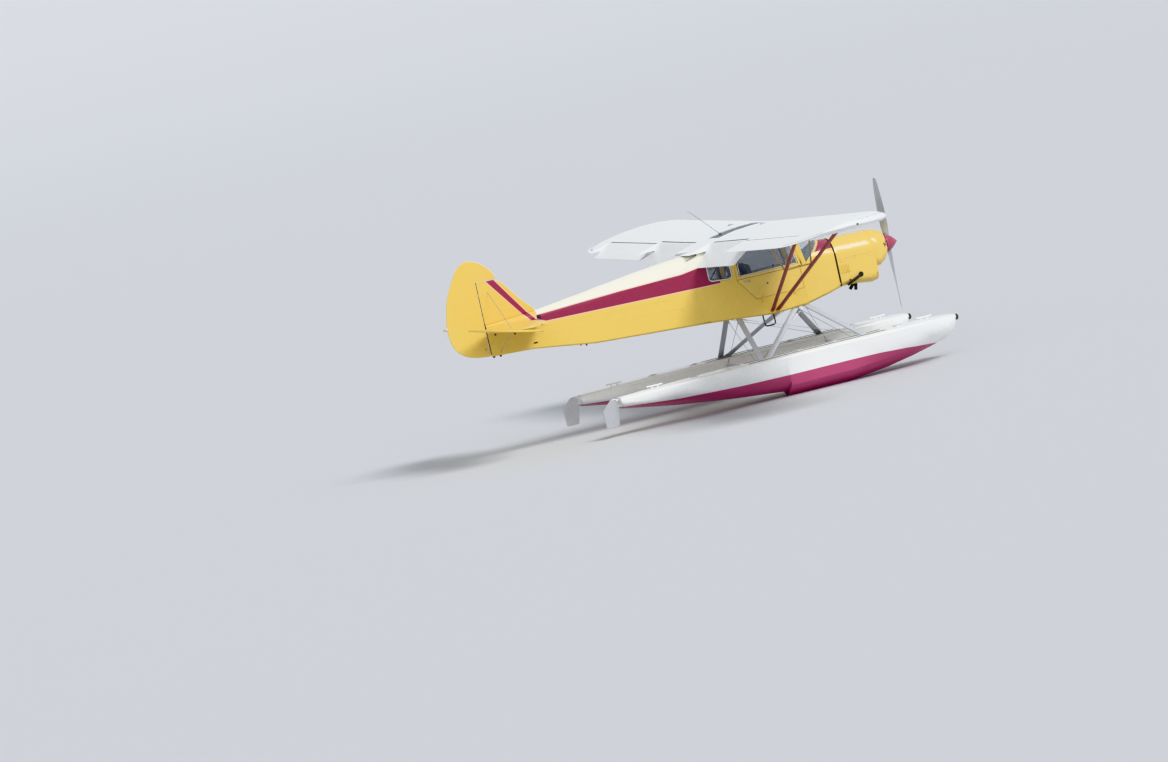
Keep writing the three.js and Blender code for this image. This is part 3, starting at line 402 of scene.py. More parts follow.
# Columns: slot that its pieces mostly take, base colour, roughness, grime, and what else it needs
finishTable = {
    "yellowCloth": ("yellow_fabric", colors["yellow"], 0.32, 0.10, dict(
        paint=paintFuselage, weave=(900, 0.5), Coat_Weight=0.1, Coat_Roughness=0.2, Specular_IOR_Level=0.3)),
    "yellowMetal": ("yellow_metal", colors["yellow"], 0.24, 0.12, dict(
        ripple=(4.0, 0.04), Coat_Weight=0.6, Coat_Roughness=0.12, Specular_IOR_Level=0.4)),
    "bootMetal": ("yellow_metal", colors["yellow"], 0.24, 0.12, dict(
        paint=paintBoot, ripple=(4.0, 0.04), Coat_Weight=0.4, Coat_Roughness=0.12, Specular_IOR_Level=0.4)),
    "whiteCloth": ("white_fabric", colors["white"], 0.34, 0.05, dict(
        weave=(900, 0.5), Coat_Weight=0.3, Coat_Roughness=0.2)),
    "floatPaint": ("white_metal", colors["white"], 0.28, 0.12, dict(
        paint=paintFloat, ripple=(6.0, 0.04), Coat_Weight=0.4, Coat_Roughness=0.15)),
    "whiteMetal": ("white_metal", colors["white"], 0.3, 0.08, dict(ripple=(6.0, 0.04))),
    "juryPaint": ("white_metal", (0.50, 0.36, 0.17), 0.4, 0.2, dict(ripple=(9.0, 0.06))),
    "burgundyMetal": ("spinner_burgundy", colors["spinnerRed"], 0.22, 0.06, dict(
        ripple=(9.0, 0.05), Coat_Weight=0.5, Coat_Roughness=0.1)),
    "strutPaint": ("strut_silver", (0.32, 0.075, 0.070), 0.45, 0.18, dict(
        ripple=(9.0, 0.06), Specular_IOR_Level=0.3)),
    "silverPaint": ("strut_silver", (0.60, 0.63, 0.68), 0.38, 0.12, dict(ripple=(12.0, 0.08), Metallic=0.35)),
    "bareAluminium": ("strut_silver", (0.66, 0.67, 0.69), 0.42, 0.1, dict(ripple=(12.0, 0.05), Metallic=0.9)),
    "bladeMetal": ("propeller_metal", (0.56, 0.57, 0.60), 0.36, 0.1, dict(ripple=(6.0, 0.03), Metallic=0.7)),
    "brightSteel": ("stay_steel", (0.58, 0.59, 0.6), 0.28, 0.12, dict(ripple=(30.0, 0.1), Metallic=1.0)),
    "sootSteel": ("black_metal", (0.028, 0.025, 0.023), 0.72, 0.15, dict(ripple=(30.0, 0.3), Metallic=0.2)),
    "castIron": ("engine_metal", (0.13, 0.13, 0.135), 0.55, 0.4, dict(ripple=(40.0, 0.5), Metallic=0.7)),
    "blackRubber": ("black_rubber", (0.022, 0.022, 0.023), 0.62, 0.3, dict(ripple=(30.0, 0.4))),
    "blackPanel": ("panel_black", (0.03, 0.03, 0.032), 0.55, 0.2, dict(ripple=(60.0, 1.2))),
    "darkTrim": ("black_metal", (0.05, 0.045, 0.04), 0.45, 0.2, dict(ripple=(30.0, 0.3))),
    "seamShadow": ("yellow_metal", (0.02, 0.012, 0.006), 0.7, 0.1, dict(ripple=(30.0, 0.3))),
    # A tape on the tip's bow, dark grey as painted shade where the top turns down
    "bowTapeShade": ("white_fabric", (0.22, 0.23, 0.25), 0.6, 0.1, dict(ripple=(30.0, 0.3))),
    "bellyCloth": ("yellow_fabric", colors["yellow"], 0.32, 0.12, dict(paint=paintBelly, weave=(900, 0.5))),
    "frameMetal": ("yellow_metal", colors["yellow"], 0.26, 0.14, dict(ripple=(14.0, 0.06), Coat_Weight=0.4)),
    "tubePaint": ("black_metal", (0.16, 0.17, 0.16), 0.4, 0.2, dict(ripple=(30.0, 0.2))),
    "lining": ("seat_cloth", (0.17, 0.17, 0.175), 0.8, 0.25, dict(weave=(500, 0.5), bump=0.5)),
    "seatCloth": ("seat_cloth", (0.16, 0.13, 0.11), 0.85, 0.25, dict(
        weave=(260, 0.4), bump=0.7, distance=0.003, Sheen_Weight=0.35, Sheen_Roughness=0.4)),
    "belt": ("seat_cloth", (0.045, 0.05, 0.055), 0.7, 0.15, dict(
        weave=(700, 0.1), bump=0.8, Sheen_Weight=0.2)),
    "gripStrip": ("black_rubber", (0.05, 0.05, 0.052), 0.9, 0.35, dict(ripple=(600.0, 1.5), bump=0.9)),
    "redLens": ("clear_glass", (0.55, 0.02, 0.02), 0.12, 0.05, dict(ripple=(60.0, 0.1), Coat_Weight=0.8)),
    "greenLens": ("clear_glass", (0.02, 0.35, 0.10), 0.12, 0.05, dict(ripple=(60.0, 0.1), Coat_Weight=0.8)),
    "clearLens": ("clear_glass", (0.75, 0.77, 0.78), 0.10, 0.05, dict(ripple=(60.0, 0.1), Coat_Weight=0.8)),
}

# Columns: least and most cover, the two tints
glassTable = {
    "clearPane": (0.16, 0.26, (0.42, 0.52, 0.60), (0.52, 0.62, 0.70)),
    "tintedPane": (0.30, 0.46, (0.06, 0.09, 0.14), (0.14, 0.18, 0.24)),
}


def makeGlass(name, least, most, deep, pale):
    # Thin sheet: mostly see-through, with haze and scratches that catch the light
    glass, tree, shader = newMaterial(name)
    scratches = noise(tree, None, 9.0, 9.0, 0.7)
    feed(tree, shader.inputs["Roughness"], mapRange(tree, scratches, 0.35, 0.75, 0.04, 0.13))
    feed(tree, shader.inputs["Alpha"], mapRange(tree, scratches, 0.3, 0.8, least, most))
    feed(tree, shader.inputs["Base Color"], blendColor(tree, scratches, deep, pale))
    shader.inputs["Specular IOR Level"].default_value = 1.0
    return glass


usualSlot = {name: row[0] for name, row in finishTable.items()}
materials = {name: makeMaterial(name, *row[1:4], **row[4]) for name, row in finishTable.items()}
materials.update((name, makeGlass(name, *row)) for name, row in glassTable.items())
print("materials made:", len(materials))

# Mesh making: a shape is a pair of points and faces


def joinShapes(shapes):
    verts, faces = [], []
    for shapeVerts, shapeFaces in shapes:
        start = len(verts)
        verts += shapeVerts
        faces += [tuple(i + start for i in face) for face in shapeFaces]
    return verts, faces


def ringShape(rings, closed=False):
    # Skin over rings of points, which have the same count; closed joins the last ring to the first
    count = len(rings[0])
    verts = [Vector(p) for ring in rings for p in ring]
    faces = []
    for r in range(len(rings) if closed else len(rings) - 1):
        a, b = r * count, ((r + 1) % len(rings)) * count
        faces += [(a + i, a + (i + 1) % count, b + (i + 1) % count, b + i) for i in range(count)]
    if not closed:
        faces += [tuple(reversed(range(count))), tuple(range(len(verts) - count, len(verts)))]
    return verts, faces


def tubeLoop(points, radius, sides=8):
    # A closed tube round a ring of points that lie nearly in one plane
    points = [Vector(p) for p in points]
    centre = sum(points, Vector()) / len(points)
    normal = Vector()
    for a, b in zip(points, points[1:] + points[:1]):
        normal += (a - centre).cross(b - centre)
    normal.normalize()
    rings = []
    for i, point in enumerate(points):
        ahead = (points[(i + 1) % len(points)] - points[i - 1]).normalized()
        out = ahead.cross(normal).normalized()
        rings.append([point + (out * c + normal * s) * radius for c, s in circle(sides)])
    return ringShape(rings, closed=True)


def ribbonShape(line, width, lift, crown=0.0, sunk=0.001):
    # A strip laid on a surface along points with their normals, with a raised middle if it has a crown
    rings = []
    for i, (point, normal) in enumerate(line):
        ahead = line[min(i + 1, len(line) - 1)][0] - line[max(i - 1, 0)][0]
        side = ahead.cross(normal).normalized() * width / 2
        up, down = normal * lift, normal * sunk
        rings.append([point - side + up, point + normal * (lift + crown), point + side + up,
                      point + side - down, point - side - down])
    return ringShape(rings)


def tubeShape(path, radius, sides=10, flat=1.0):
    # Rings across a path, turned as little as possible from one point to the next
    path = [Vector(p) for p in path]
    sizes = radius if isinstance(radius, list) else [radius] * len(path)
    rings, side = [], None
    for i, (point, size) in enumerate(zip(path, sizes)):
        ahead = (path[min(i + 1, len(path) - 1)] - path[max(i - 1, 0)]).normalized()
        side = side or ahead.orthogonal().normalized()
        side = (side - ahead * side.dot(ahead)).normalized()
        other = ahead.cross(side)
        rings.append([point + side * c * size + other * s * size * flat for c, s in circle(sides)])
    return ringShape(rings)


def turnedShape(profile, centre, axis, count=20):
    # Columns of the profile: distance along the axis, radius
    axis = Vector(axis).normalized()
    side = axis.orthogonal().normalized()
    other = axis.cross(side)
    return ringShape([[Vector(centre) + axis * along + (side * c + other * s) * max(radius, 1e-5)
                       for c, s in circle(count)] for along, radius in profile])


def slabShape(outline, place, low, high):
    return ringShape([[place(u, v, level) for u, v in outline] for level in (low, high)])


def plateAt(centre, outline, order, low, high):
    # A slab round a point; order names what x, y and z take: outline's u and v, or the level w
    def place(*uvw):
        return centre + Vector([uvw["uvw".index(letter)] for letter in order])
    return slabShape(outline, place, low, high)


def bandShape(outline, inner, place, low, high):
    # A flat frame between two outlines with the same number of points
    return ringShape([[place(*p, level) for p in line] for line, level in
                      ((outline, low), (outline, high), (inner, high), (inner, low))], closed=True)


def movedShape(shape, matrix):
    return [matrix @ v for v in shape[0]], shape[1]


def sidedShape(shape, sign):
    # The shape as it is on the left, or mirrored for the right
    return [Vector((v.x, sign * v.y, v.z)) for v in shape[0]], shape[1]


def bothSides(shape):
    return [sidedShape(shape, sign) for sign in signs]


def sidePlate(hit, outline, sign, low, high):
    centre = Vector((hit.x, sign * hit.y, hit.z))
    return sidedShape(plateAt(centre, outline, "uwv", low, high), sign)


def rectangle(x0, y0, x1, y1):
    return [(x0, y0), (x1, y0), (x1, y1), (x0, y1)]


def roundedOutline(corners, radius, count=5):
    points = []
    for i, place in enumerate(corners):
        corner = Vector(place)
        before = Vector(corners[i - 1]) - corner
        after = Vector(corners[(i + 1) % len(corners)]) - corner
        enter, leave = corner + before.normalized() * radius, corner + after.normalized() * radius
        points += [enter * (1 - t) ** 2 + corner * 2 * t * (1 - t) + leave * t * t
                   for t in steps(0, 1, count + 1)]
    return points


def roundedPlate(halfLong, halfWide, radius):
    return roundedOutline(rectangle(-halfLong, -halfWide, halfLong, halfWide), radius)


def drawnIn(points, distance):
    area = sum(p.x * q.y - q.x * p.y for p, q in zip(points, points[1:] + points[:1]))
    turn = math.copysign(distance, area)
    result = []
    for i, corner in enumerate(points):
        before = (corner - points[i - 1]).normalized()
        after = (points[(i + 1) % len(points)] - corner).normalized()
        bend = max(0.3, 1 + before.dot(after))
        result.append(corner + Vector((-before.y - after.y, before.x + after.x)) * turn / bend)
    return result


def shade(mesh, angle):
    mesh.shade_smooth()
    mesh.set_sharp_from_angle(angle=math.radians(angle))


def mend(mesh, angle, weld, thorough=True):
    shape = bmesh.new()
    shape.from_mesh(mesh)
    bmesh.ops.remove_doubles(shape, verts=shape.verts, dist=weld)
    if thorough:
        bmesh.ops.dissolve_degenerate(shape, edges=shape.edges, dist=1e-6)
        bmesh.ops.recalc_face_normals(shape, faces=shape.faces)
    shape.to_mesh(mesh)
    shape.free()
    shade(mesh, angle)
    return mesh


def newMesh(name, shape, angle):
    verts, faces = joinShapes(shape) if isinstance(shape, list) else shape
    mesh = bpy.data.meshes.new(name)
    mesh.from_pydata([tuple(v) for v in verts], [], faces)
    return mend(mesh, angle, 2e-5)


def finishMesh(mesh, material):
    mesh.materials.clear()
    mesh.materials.append(materials[material])


def settle(piece, material, body, slotName):
    finishMesh(piece.data, material)
    for polygon in piece.data.polygons:
        polygon.material_index = 0
    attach(piece, body)
    slotName or usualSlot[material]
    return piece


def makePiece(name, shape, material, slotName=None, body="airframe", angle=40, bevel=0.0):
    # Takes one shape or a list of shapes
    piece = settle(addObject(name, newMesh(name, shape, angle)), material, body, slotName)
    if bevel:
        edge = piece.modifiers.new("softEdge", "BEVEL")
        edge.width, edge.segments, edge.limit_method = bevel, 2, "ANGLE"
        edge.angle_limit = math.radians(50)
    return piece


# Geometry Nodes: one tree repeats a piece in a row, one sets studs along lines


def makeGrowTree(name, inputs, points, piece):
    # points and piece make their nodes in the tree and give what is copied where
    sockets = {"Geometry": "Geometry", **inputs, "Finish": "Material"}
    tree, given, out = newTree(name, "GeometryNodeTree", sockets, {"Geometry": "Geometry"})
    copies = addNode(tree, "GeometryNodeInstanceOnPoints",
                     {"Points": points(tree, given), "Instance": piece(tree, given)})
    real = addNode(tree, "GeometryNodeRealizeInstances", {"Geometry": copies.outputs[0]})
    finish = addNode(tree, "GeometryNodeSetMaterial",
                     {"Geometry": real.outputs[0], "Material": given["Finish"]})
    feed(tree, out["Geometry"], finish.outputs[0])
    return tree


def rowPoints(tree, given):
    return addNode(tree, "GeometryNodeMeshLine", {"Count": given["Count"], "Offset": given["Step"]},
                   mode="OFFSET").outputs[0]


def studPoints(tree, given):
    curve = addNode(tree, "GeometryNodeMeshToCurve", {"Mesh": given["Geometry"]}).outputs[0]
    return addNode(tree, "GeometryNodeCurveToPoints", {"Curve": curve, "Length": given["Spacing"]},
                   mode="LENGTH").outputs[0]


def studHead(tree, given):
    return addNode(tree, "GeometryNodeMeshUVSphere",
                   {"Segments": 6, "Rings": 4, "Radius": given["Radius"]}).outputs[0]


rowTree = makeGrowTree("rowOfPieces", {"Count": "Int", "Step": "Vector"}, rowPoints,
                       lambda tree, given: given["Geometry"])
studTree = makeGrowTree("studsOnLines", {"Spacing": "Float", "Radius": "Float"}, studPoints, studHead)


def growPiece(name, mesh, tree, values, material, slotName, body, angle):
    # Runs a tree on a mesh and keeps the result as a plain mesh
    carrier = addObject(name + "Carrier", mesh)
    grow = carrier.modifiers.new("grow", "NODES")
    grow.node_group = tree
    values["Finish"] = materials[material]
    for item in tree.interface.items_tree:
        if item.in_out == "INPUT" and item.name in values:
            grow[item.identifier] = values[item.name]
    bpy.context.view_layer.update()
    result = newMeshOf(carrier)
    bpy.data.objects.remove(carrier)
    shade(result, angle)
    return settle(addObject(name, result), material, body, slotName)


def newMeshOf(piece):
    return bpy.data.meshes.new_from_object(piece.evaluated_get(bpy.context.evaluated_depsgraph_get()))


def makeRow(name, shape, count, step, material, slotName=None, angle=40):
    growPiece(name, newMesh(name, shape, angle), rowTree, {"Count": count, "Step": tuple(step)}, material,
              slotName, "airframe", angle)


def makeStuds(name, lines, size, material, body="airframe"):
    # Heads along lines of points; size is their spacing and their radius
    spacing, radius = size
    verts, edges = [], []
    for line in lines:
        edges += [(i, i + 1) for i in range(len(verts), len(verts) + len(line) - 1)]
        verts += [tuple(p) for p in line]
    mesh = bpy.data.meshes.new(name)
    mesh.from_pydata(verts, edges, [])
    growPiece(name, mesh, studTree, {"Spacing": spacing, "Radius": radius}, material, None, body, 80)


# Finding the skin: a ray from outside gives the point and the direction of the surface
skinTrees = {}


def skinTree(node):
    if node not in skinTrees:
        mesh = nodes[node].data if node in nodes else bpy.data.objects[node].data
        skinTrees[node] = BVHTree.FromPolygons([v.co.copy() for v in mesh.vertices],
                                               [tuple(p.vertices) for p in mesh.polygons])
    return skinTrees[node]


def onSkin(node, start, toward):
    hit, normal, _, _ = skinTree(node).ray_cast(Vector(start), Vector(toward).normalized())
    if hit is not None and normal.dot(Vector(toward)) > 0:
        normal = -normal
    return hit, normal


def skinLine(node, starts, toward):
    # Points on the skin with their normals; toward is one direction, or one for each start
    ways = toward if isinstance(toward, list) else [toward] * len(starts)
    found = [onSkin(node, start, way) for start, way in zip(starts, ways)]
    return [(hit, normal) for hit, normal in found if hit is not None]


def pointsOf(line):
    return [point for point, _ in line]


def fromSide(node, sign, places, middle=0.0):
    # Level rays inwards, from far out on one side; places are pairs of x and z
    return skinLine(node, [spot(x, middle + sign * 2, z) for x, z in places], (0, -sign, 0))


def upright(node, places, way=-1):
    # Rays straight down, or up if way is 1; places are pairs of x and y
    return skinLine(node, [spot(x, y, -3 * way) for x, y in places], (0, 0, way))


def around(node, x, centreZ, turns, reach=3.0):
    # A line round the fuselage at one station, along an arc that starts on the right side and runs up
    ways = [Vector((0, -c, s)) for c, s in turns]
    return skinLine(node, [spot(x, 0, centreZ) + way * reach for way in ways], [-way for way in ways])


print("tools ready")

# Skins: each node gets its finish, and all but the flat ones a smooth copy that stands for them


def pair(*names):
    return [f"{name}_{side}" for side in sides for name in names]


finishes = {
    "yellowCloth": ["fuselage_aft", *pair("cabin_side"), "fin", "rudder", *pair("stabilizer"), "elevator"],
    "yellowMetal": ["door_lower", "door_upper", "engine_cowl", "nose_bowl"],
    "bootMetal": ["boot_cowl"],
    "bellyCloth": ["cabin_floor"],
    "whiteCloth": ["cabin_roof", *pair("wing"), *pair("aileron"), *pair("flap")],
    "floatPaint": pair("float"),
    "juryPaint": pair("jury_strut"),
    "burgundyMetal": ["spinner"],
    "strutPaint": pair("lift_strut_front", "lift_strut_rear"),
    "silverPaint": [*pair("float_strut_front", "float_strut_middle", "float_strut_rear"),
                    "spreader_bar_front", "spreader_bar_rear"],
    "seamShadow": ["firewall"],
    "bladeMetal": ["propeller"],
    "bareAluminium": pair("water_rudder"),
    "brightSteel": pair("tail_stay_upper", "tail_stay_lower"),
    "sootSteel": ["exhaust_pipe"],
    "castIron": ["engine_block"],
    "blackRubber": pair("bow_bumper"),
    "darkTrim": ["boarding_step"],
    "blackPanel": ["instrument_panel"],
    "clearPane": ["windshield", "skylight"],
    "tintedPane": [f"window_{side}_{place}" for side in sides for place in ("front", "rear")],
}
bodyOf = {node: body for body, members in frame["record"]["behaviour"]["bodies"].items() for node in members}
flatNodes = {"firewall", "instrument_panel", "engine_block", "skylight"}
crispNodes = {"door_lower", "door_upper", "fin", "rudder", *pair("cabin_side")}
skinning = {"crisp": 25, "round": 38, "weld": 1e-5}


def makeSkin(node, finish):
    angle = skinning["crisp" if node in crispNodes else "round"]
    mesh = mend(nodes[node].data.copy(), angle, skinning["weld"], thorough=False)
    finishMesh(mesh, finish)
    skin = addObject(f"{node}_skin", mesh)
    even = skin.modifiers.new("evenShading", "WEIGHTED_NORMAL")
    even.weight, even.keep_sharp = 80, True
    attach(skin, bodyOf[node])
    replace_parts(skin, node)


for finish, members in finishes.items():
    for node in members:
        if node in flatNodes:
            finishMesh(nodes[node].data, finish)
        else:
            makeSkin(node, finish)
print("nodes dressed")

# Seats: two cushions each, swollen by cloth pressure, on tube frames
seatSets = {
    "seatFront": {"node": "seat_front", "front": -1.960, "rear": -2.330, "half": 0.205, "top": 0.210},
    "seatRear": {"node": "seat_rear", "front": -2.660, "rear": -2.990, "half": 0.215, "top": 0.190},
}
cushion = {"pan": -0.300, "inset": 0.020, "front": 0.02, "rear": 0.075, "round": 0.045, "fill": 0.7,
           "seatGap": 0.004, "seat": 0.083, "rest": 0.002, "seam": 0.074, "piping": 0.0035,
           "back": 0.062, "backFoot": 0.115, "backShort": 0.13, "backGap": 0.008, "lean": 0.06,
           "cap": 0.012, "voxel": 0.006, "pressure": 4.0, "frames": 20}
tubing = {"frame": 0.0095, "roof": 0.008, "stick": 0.0105, "hoop": 0.010, "hoopOut": 0.012, "lever": 0.004}
# Columns: height from either face, how far the edge is drawn in there
plump = [(0.0, 0.022), (0.012, 0.006), (0.03, 0.0)]
belts = {"lap": 0.13, "lapInset": 0.02, "wide": 0.046, "narrow": 0.040, "gap": 0.002, "thick": 0.0022,
         "shoulders": {"A": -0.09, "B": 0.09}, "shoulderTop": 0.045, "shoulderFoot": -0.13,
         "buckle": (0.034, 0.024, 0.008), "buckleDepth": (0.001, 0.012)}


def padShape(outline, place, thick):
    levels = plump + [(thick - level, inset) for level, inset in reversed(plump)]
    return ringShape([[place(p.x, p.y, level) for p in drawnIn(outline, inset)] for level, inset in levels])


def swell(piece, rest):
    # The cloth recipe: remesh, blow up, hold each point near its start, flat where it rests
    skin = piece.modifiers.new("skin", "REMESH")
    skin.mode, skin.voxel_size = "VOXEL", cushion["voxel"]
    mesh = newMeshOf(piece)
    piece.modifiers.clear()
    piece.data = mesh
    start = [v.co.copy() for v in mesh.vertices]
    cloth = piece.modifiers.new("swell", "CLOTH")
    cloth.settings.use_pressure = True
    cloth.settings.uniform_pressure_force = cushion["pressure"]
    cloth.settings.effector_weights.gravity = 0
    cloth.point_cache.frame_start, cloth.point_cache.frame_end = 1, cushion["frames"]
    for step in range(1, cushion["frames"] + 1):
        scene.frame_set(step)
    blown = newMeshOf(piece)
    piece.modifiers.clear()
    for vertex, first, after in zip(mesh.vertices, start, blown.vertices):
        move = after.co - first
        if move.length > cushion["cap"]:
            move *= cushion["cap"] / move.length
        vertex.co = first + move
        if rest is not None:
            vertex.co.z = max(vertex.co.z, rest)
    bpy.data.meshes.remove(blown)
    scene.frame_set(1)
    mesh.shade_smooth()
    soft = piece.modifiers.new("soft", "SUBSURF")
    soft.levels = soft.render_levels = 1


def makeCushion(name, shape, rest=None):
    piece = makePiece(name, shape, "seatCloth", angle=60)
    swell(piece, rest)
    finishMesh(piece.data, "seatCloth")
    return piece


def makePan(name, seat, half):
    front, rear, pan = seat["front"] - cushion["front"], seat["rear"] + cushion["rear"], cushion["pan"]
    outline = roundedOutline(rectangle(front, half, rear, -half), cushion["round"])
    shape = padShape(outline, lambda x, y, z: spot(x, y, pan + cushion["seatGap"] + z), cushion["seat"])
    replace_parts(makeCushion(name + "Cushion", shape, spot(0, 0, pan + cushion["rest"]).z), seat["node"])
    middle = (front + rear) / 2
    centre = spot(middle, 0, pan + cushion["seam"])
    ways = [Vector((p.x - middle, p.y, 0)).normalized() for p in outline]
    return skinLine(name + "Cushion", [centre + way for way in ways], [-way for way in ways])


def makeBack(name, seat, half):
    tall = seat["top"] - cushion["pan"] - cushion["backShort"]
    outline = roundedOutline(rectangle(-half, 0, half, tall), cushion["round"])

    def place(y, z, depth):
        x = seat["rear"] - cushion["backGap"] - cushion["lean"] * z / tall
        return spot(x + depth, y, cushion["pan"] + cushion["backFoot"] + z)

    makeCushion(name + "BackPad", padShape(outline, place, cushion["back"]))


def makeHoop(name, seat, half):
    rear, top, lean = seat["rear"] - tubing["hoopOut"], seat["top"], cushion["lean"]
    hoop = [(rear, -half, -0.29), (rear - 0.002, -half, -0.16), (rear - lean, -half, top - 0.05),
            (rear - lean - 0.002, -half + 0.03, top - 0.012)]
    path = spots(hoop) + spots(hoop[::-1], -1)
    makePiece(name + "Hoop", tubeShape(path, tubing["hoop"], 12), "tubePaint", angle=70)


def makeSeat(name, seat):
    half = seat["half"] - cushion["inset"]
    seam = makePan(name, seat, half)
    makeBack(name, seat, half)
    piping = tubeLoop(pointsOf(seam), cushion["piping"])
    makePiece(name + "Piping", piping, "darkTrim", "seat_cloth", angle=70)
    makeHoop(name, seat, half + tubing["hoopOut"])


def makeStrap(name, node, starts, toward, width):
    away = -Vector(toward)
    line = [(point + away * belts["gap"], away) for point in pointsOf(skinLine(node, starts, toward))]
    makePiece(name, ribbonShape(line, width, belts["thick"], 0.0, 0.0), "belt", angle=50)
    return pointsOf(line)


def makeBelts(name, seat):
    half = seat["half"] - belts["lapInset"]
    starts = [spot(seat["rear"] + belts["lap"], y, 0.1) for y in steps(-half, half, 25)]
    points = makeStrap(name + "LapBelt", name + "Cushion", starts, (0, 0, -1), belts["wide"])
    buckle = plateAt(points[len(points) // 2], roundedPlate(*belts["buckle"]), "vuw", *belts["buckleDepth"])
    makePiece(name + "Buckle", buckle, "brightSteel", bevel=0.0015)
    for label, y in belts["shoulders"].items():
        starts = [spot(seat["front"] + 0.1, y, z)
                  for z in steps(seat["top"] - belts["shoulderTop"], belts["shoulderFoot"], 18)]
        makeStrap(name + "ShoulderBelt" + label, name + "BackPad", starts, (-1, 0, 0), belts["narrow"])


for name, seat in seatSets.items():
    makeSeat(name, seat)
    makeBelts(name, seat)
print("seats made")

# Cabin: the tube frame, floor boards, lining, sticks, pedals and dials
frameTubes = {
    "doorPost": [(-2.637, 0.317, -0.47), (-2.637, 0.317, 0.50)],
    "rearDiagonal": [(-2.645, 0.317, 0.49), (-3.095, 0.317, -0.03)],
    "sillTube": [(-1.70, 0.317, -0.025), (-3.10, 0.317, -0.025)],
    "upperTube": [(-1.70, 0.317, 0.505), (-3.10, 0.317, 0.478)],
    "frontDiagonal": [(-1.70, 0.30, 0.515), (-1.462, 0.05, 0.12)],
    "lowerDiagonal": [(-2.62, 0.317, -0.45), (-1.70, 0.317, -0.36)],
}
leftOnly = ["sillTube", "lowerDiagonal"]  # the door needs the right side clear
roofTubes = {
    "roofCrossA": [(-1.72, 0.31, 0.53), (-2.62, -0.31, 0.535)],
    "roofCrossB": [(-1.72, -0.31, 0.548), (-2.62, 0.31, 0.553)],
    "spreaderRear": [(-2.64, -0.31, 0.52), (-2.64, 0.31, 0.52)],
}


def makeFrameTubes():
    for name, line in frameTubes.items():
        tube = tubeShape(spots(line), tubing["frame"], 12)
        shapes = [tube] if name in leftOnly else bothSides(tube)
        makePiece(name + "Tubes", shapes, "tubePaint", angle=70)
    for name, line in roofTubes.items():
        makePiece(name, tubeShape(spots(line), tubing["roof"], 12), "tubePaint", angle=70)


boards = {"floor": (-1.35, -0.24, -3.10, 0.24), "floorZ": (-0.472, -0.464),
          "wall": (-0.32, -0.48, 0.32, 0.47), "wallRound": 0.04, "wallX": (-3.118, -3.110),
          "lining": (-1.68, -0.46, -3.10, -0.03), "liningY": (0.327, 0.332)}


def makeBoards():
    floor = slabShape(rectangle(*boards["floor"]), spot, *boards["floorZ"])
    makePiece("floorBoard", floor, "lining", "black_metal", bevel=0.002)
    wall = roundedOutline(rectangle(*boards["wall"]), boards["wallRound"])
    makePiece("baggageWall", slabShape(wall, frontSpot, *boards["wallX"]), "lining")
    panel = slabShape(rectangle(*boards["lining"]), sideSpot, *boards["liningY"])
    makePiece("leftLining", panel, "lining", bevel=0.0015)


# The grip's columns: height over the stick's end, radius. Turned profiles: height, radius
sticks = {
    "paths": {"stickFront": [(-1.79, 0, -0.46), (-1.80, 0, -0.30), (-1.835, 0, -0.10), (-1.84, 0, -0.02)],
              "stickRear": [(-2.50, 0, -0.46), (-2.505, 0, -0.32), (-2.53, 0, -0.12), (-2.535, 0, -0.04)]},
    "grip": [(-0.075, 0.012), (-0.07, 0.016), (-0.04, 0.0145), (-0.01, 0.0165), (0.03, 0.015),
             (0.042, 0.009)],
    "boot": [(0, 0.0), (0.0, 0.055), (0.012, 0.05), (0.018, 0.04), (0.03, 0.036), (0.036, 0.027),
             (0.05, 0.022), (0.06, 0.012), (0.06, 0.0)],
}
pedal = {"x": -1.50, "y": (0.07, 0.17), "z": -0.43, "lean": 0.3, "half": 0.035, "tall": 0.11, "thick": 0.010}
throttle = {
    "places": {"throttleFront": -1.86, "throttleRear": -2.56}, "depth": (0.300, 0.326),
    "box": [(-0.07, -0.09), (0.07, -0.09), (0.05, 0.0), (-0.05, 0.0)],
    "lever": [(0, 0.296, -0.05), (0.015, 0.290, 0.02), (0.022, 0.282, 0.045)], "knobWay": (0.1, -0.8, 0.5),
    "knob": [(0, 0.0), (0, 0.010), (0.008, 0.015), (0.02, 0.015), (0.03, 0.008), (0.03, 0)],
}


def makeSticks():
    for name, line in sticks["paths"].items():
        path = spots(line)
        makePiece(name, tubeShape(path, tubing["stick"], 14), "tubePaint", angle=70)
        grip = tubeShape([path[-1] + Vector((0, 0, z)) for z, _ in sticks["grip"]],
                         [radius for _, radius in sticks["grip"]], 16)
        makePiece(name + "Grip", grip, "blackRubber", angle=70)
        makePiece(name + "Boot", turnedShape(sticks["boot"], path[0], (0, 0, 1), 24), "blackRubber", angle=60)


def makePedals():
    foot = roundedOutline(rectangle(-pedal["half"], 0, pedal["half"], pedal["tall"]), 0.012)
    pedals = []
    for y in pedal["y"]:
        for sign in signs:
            pedals.append(slabShape(foot, lambda u, v, w: spot(
                pedal["x"] + w - v * pedal["lean"], sign * y + u, pedal["z"] + v), 0.0, pedal["thick"]))
    makePiece("pedals", pedals, "tubePaint", bevel=0.002)


def makeThrottles():
    for name, middle in throttle["places"].items():
        box = roundedOutline([(middle + x, z) for x, z in throttle["box"]], 0.015)
        makePiece(name, slabShape(box, sideSpot, *throttle["depth"]), "blackPanel", bevel=0.002)
        lever = spots([(middle + x, y, z) for x, y, z in throttle["lever"]])
        knob = turnedShape(throttle["knob"], lever[-1], throttle["knobWay"], 14)
        makePiece(name + "Lever", [tubeShape(lever, tubing["lever"], 8), knob], "darkTrim", angle=60)


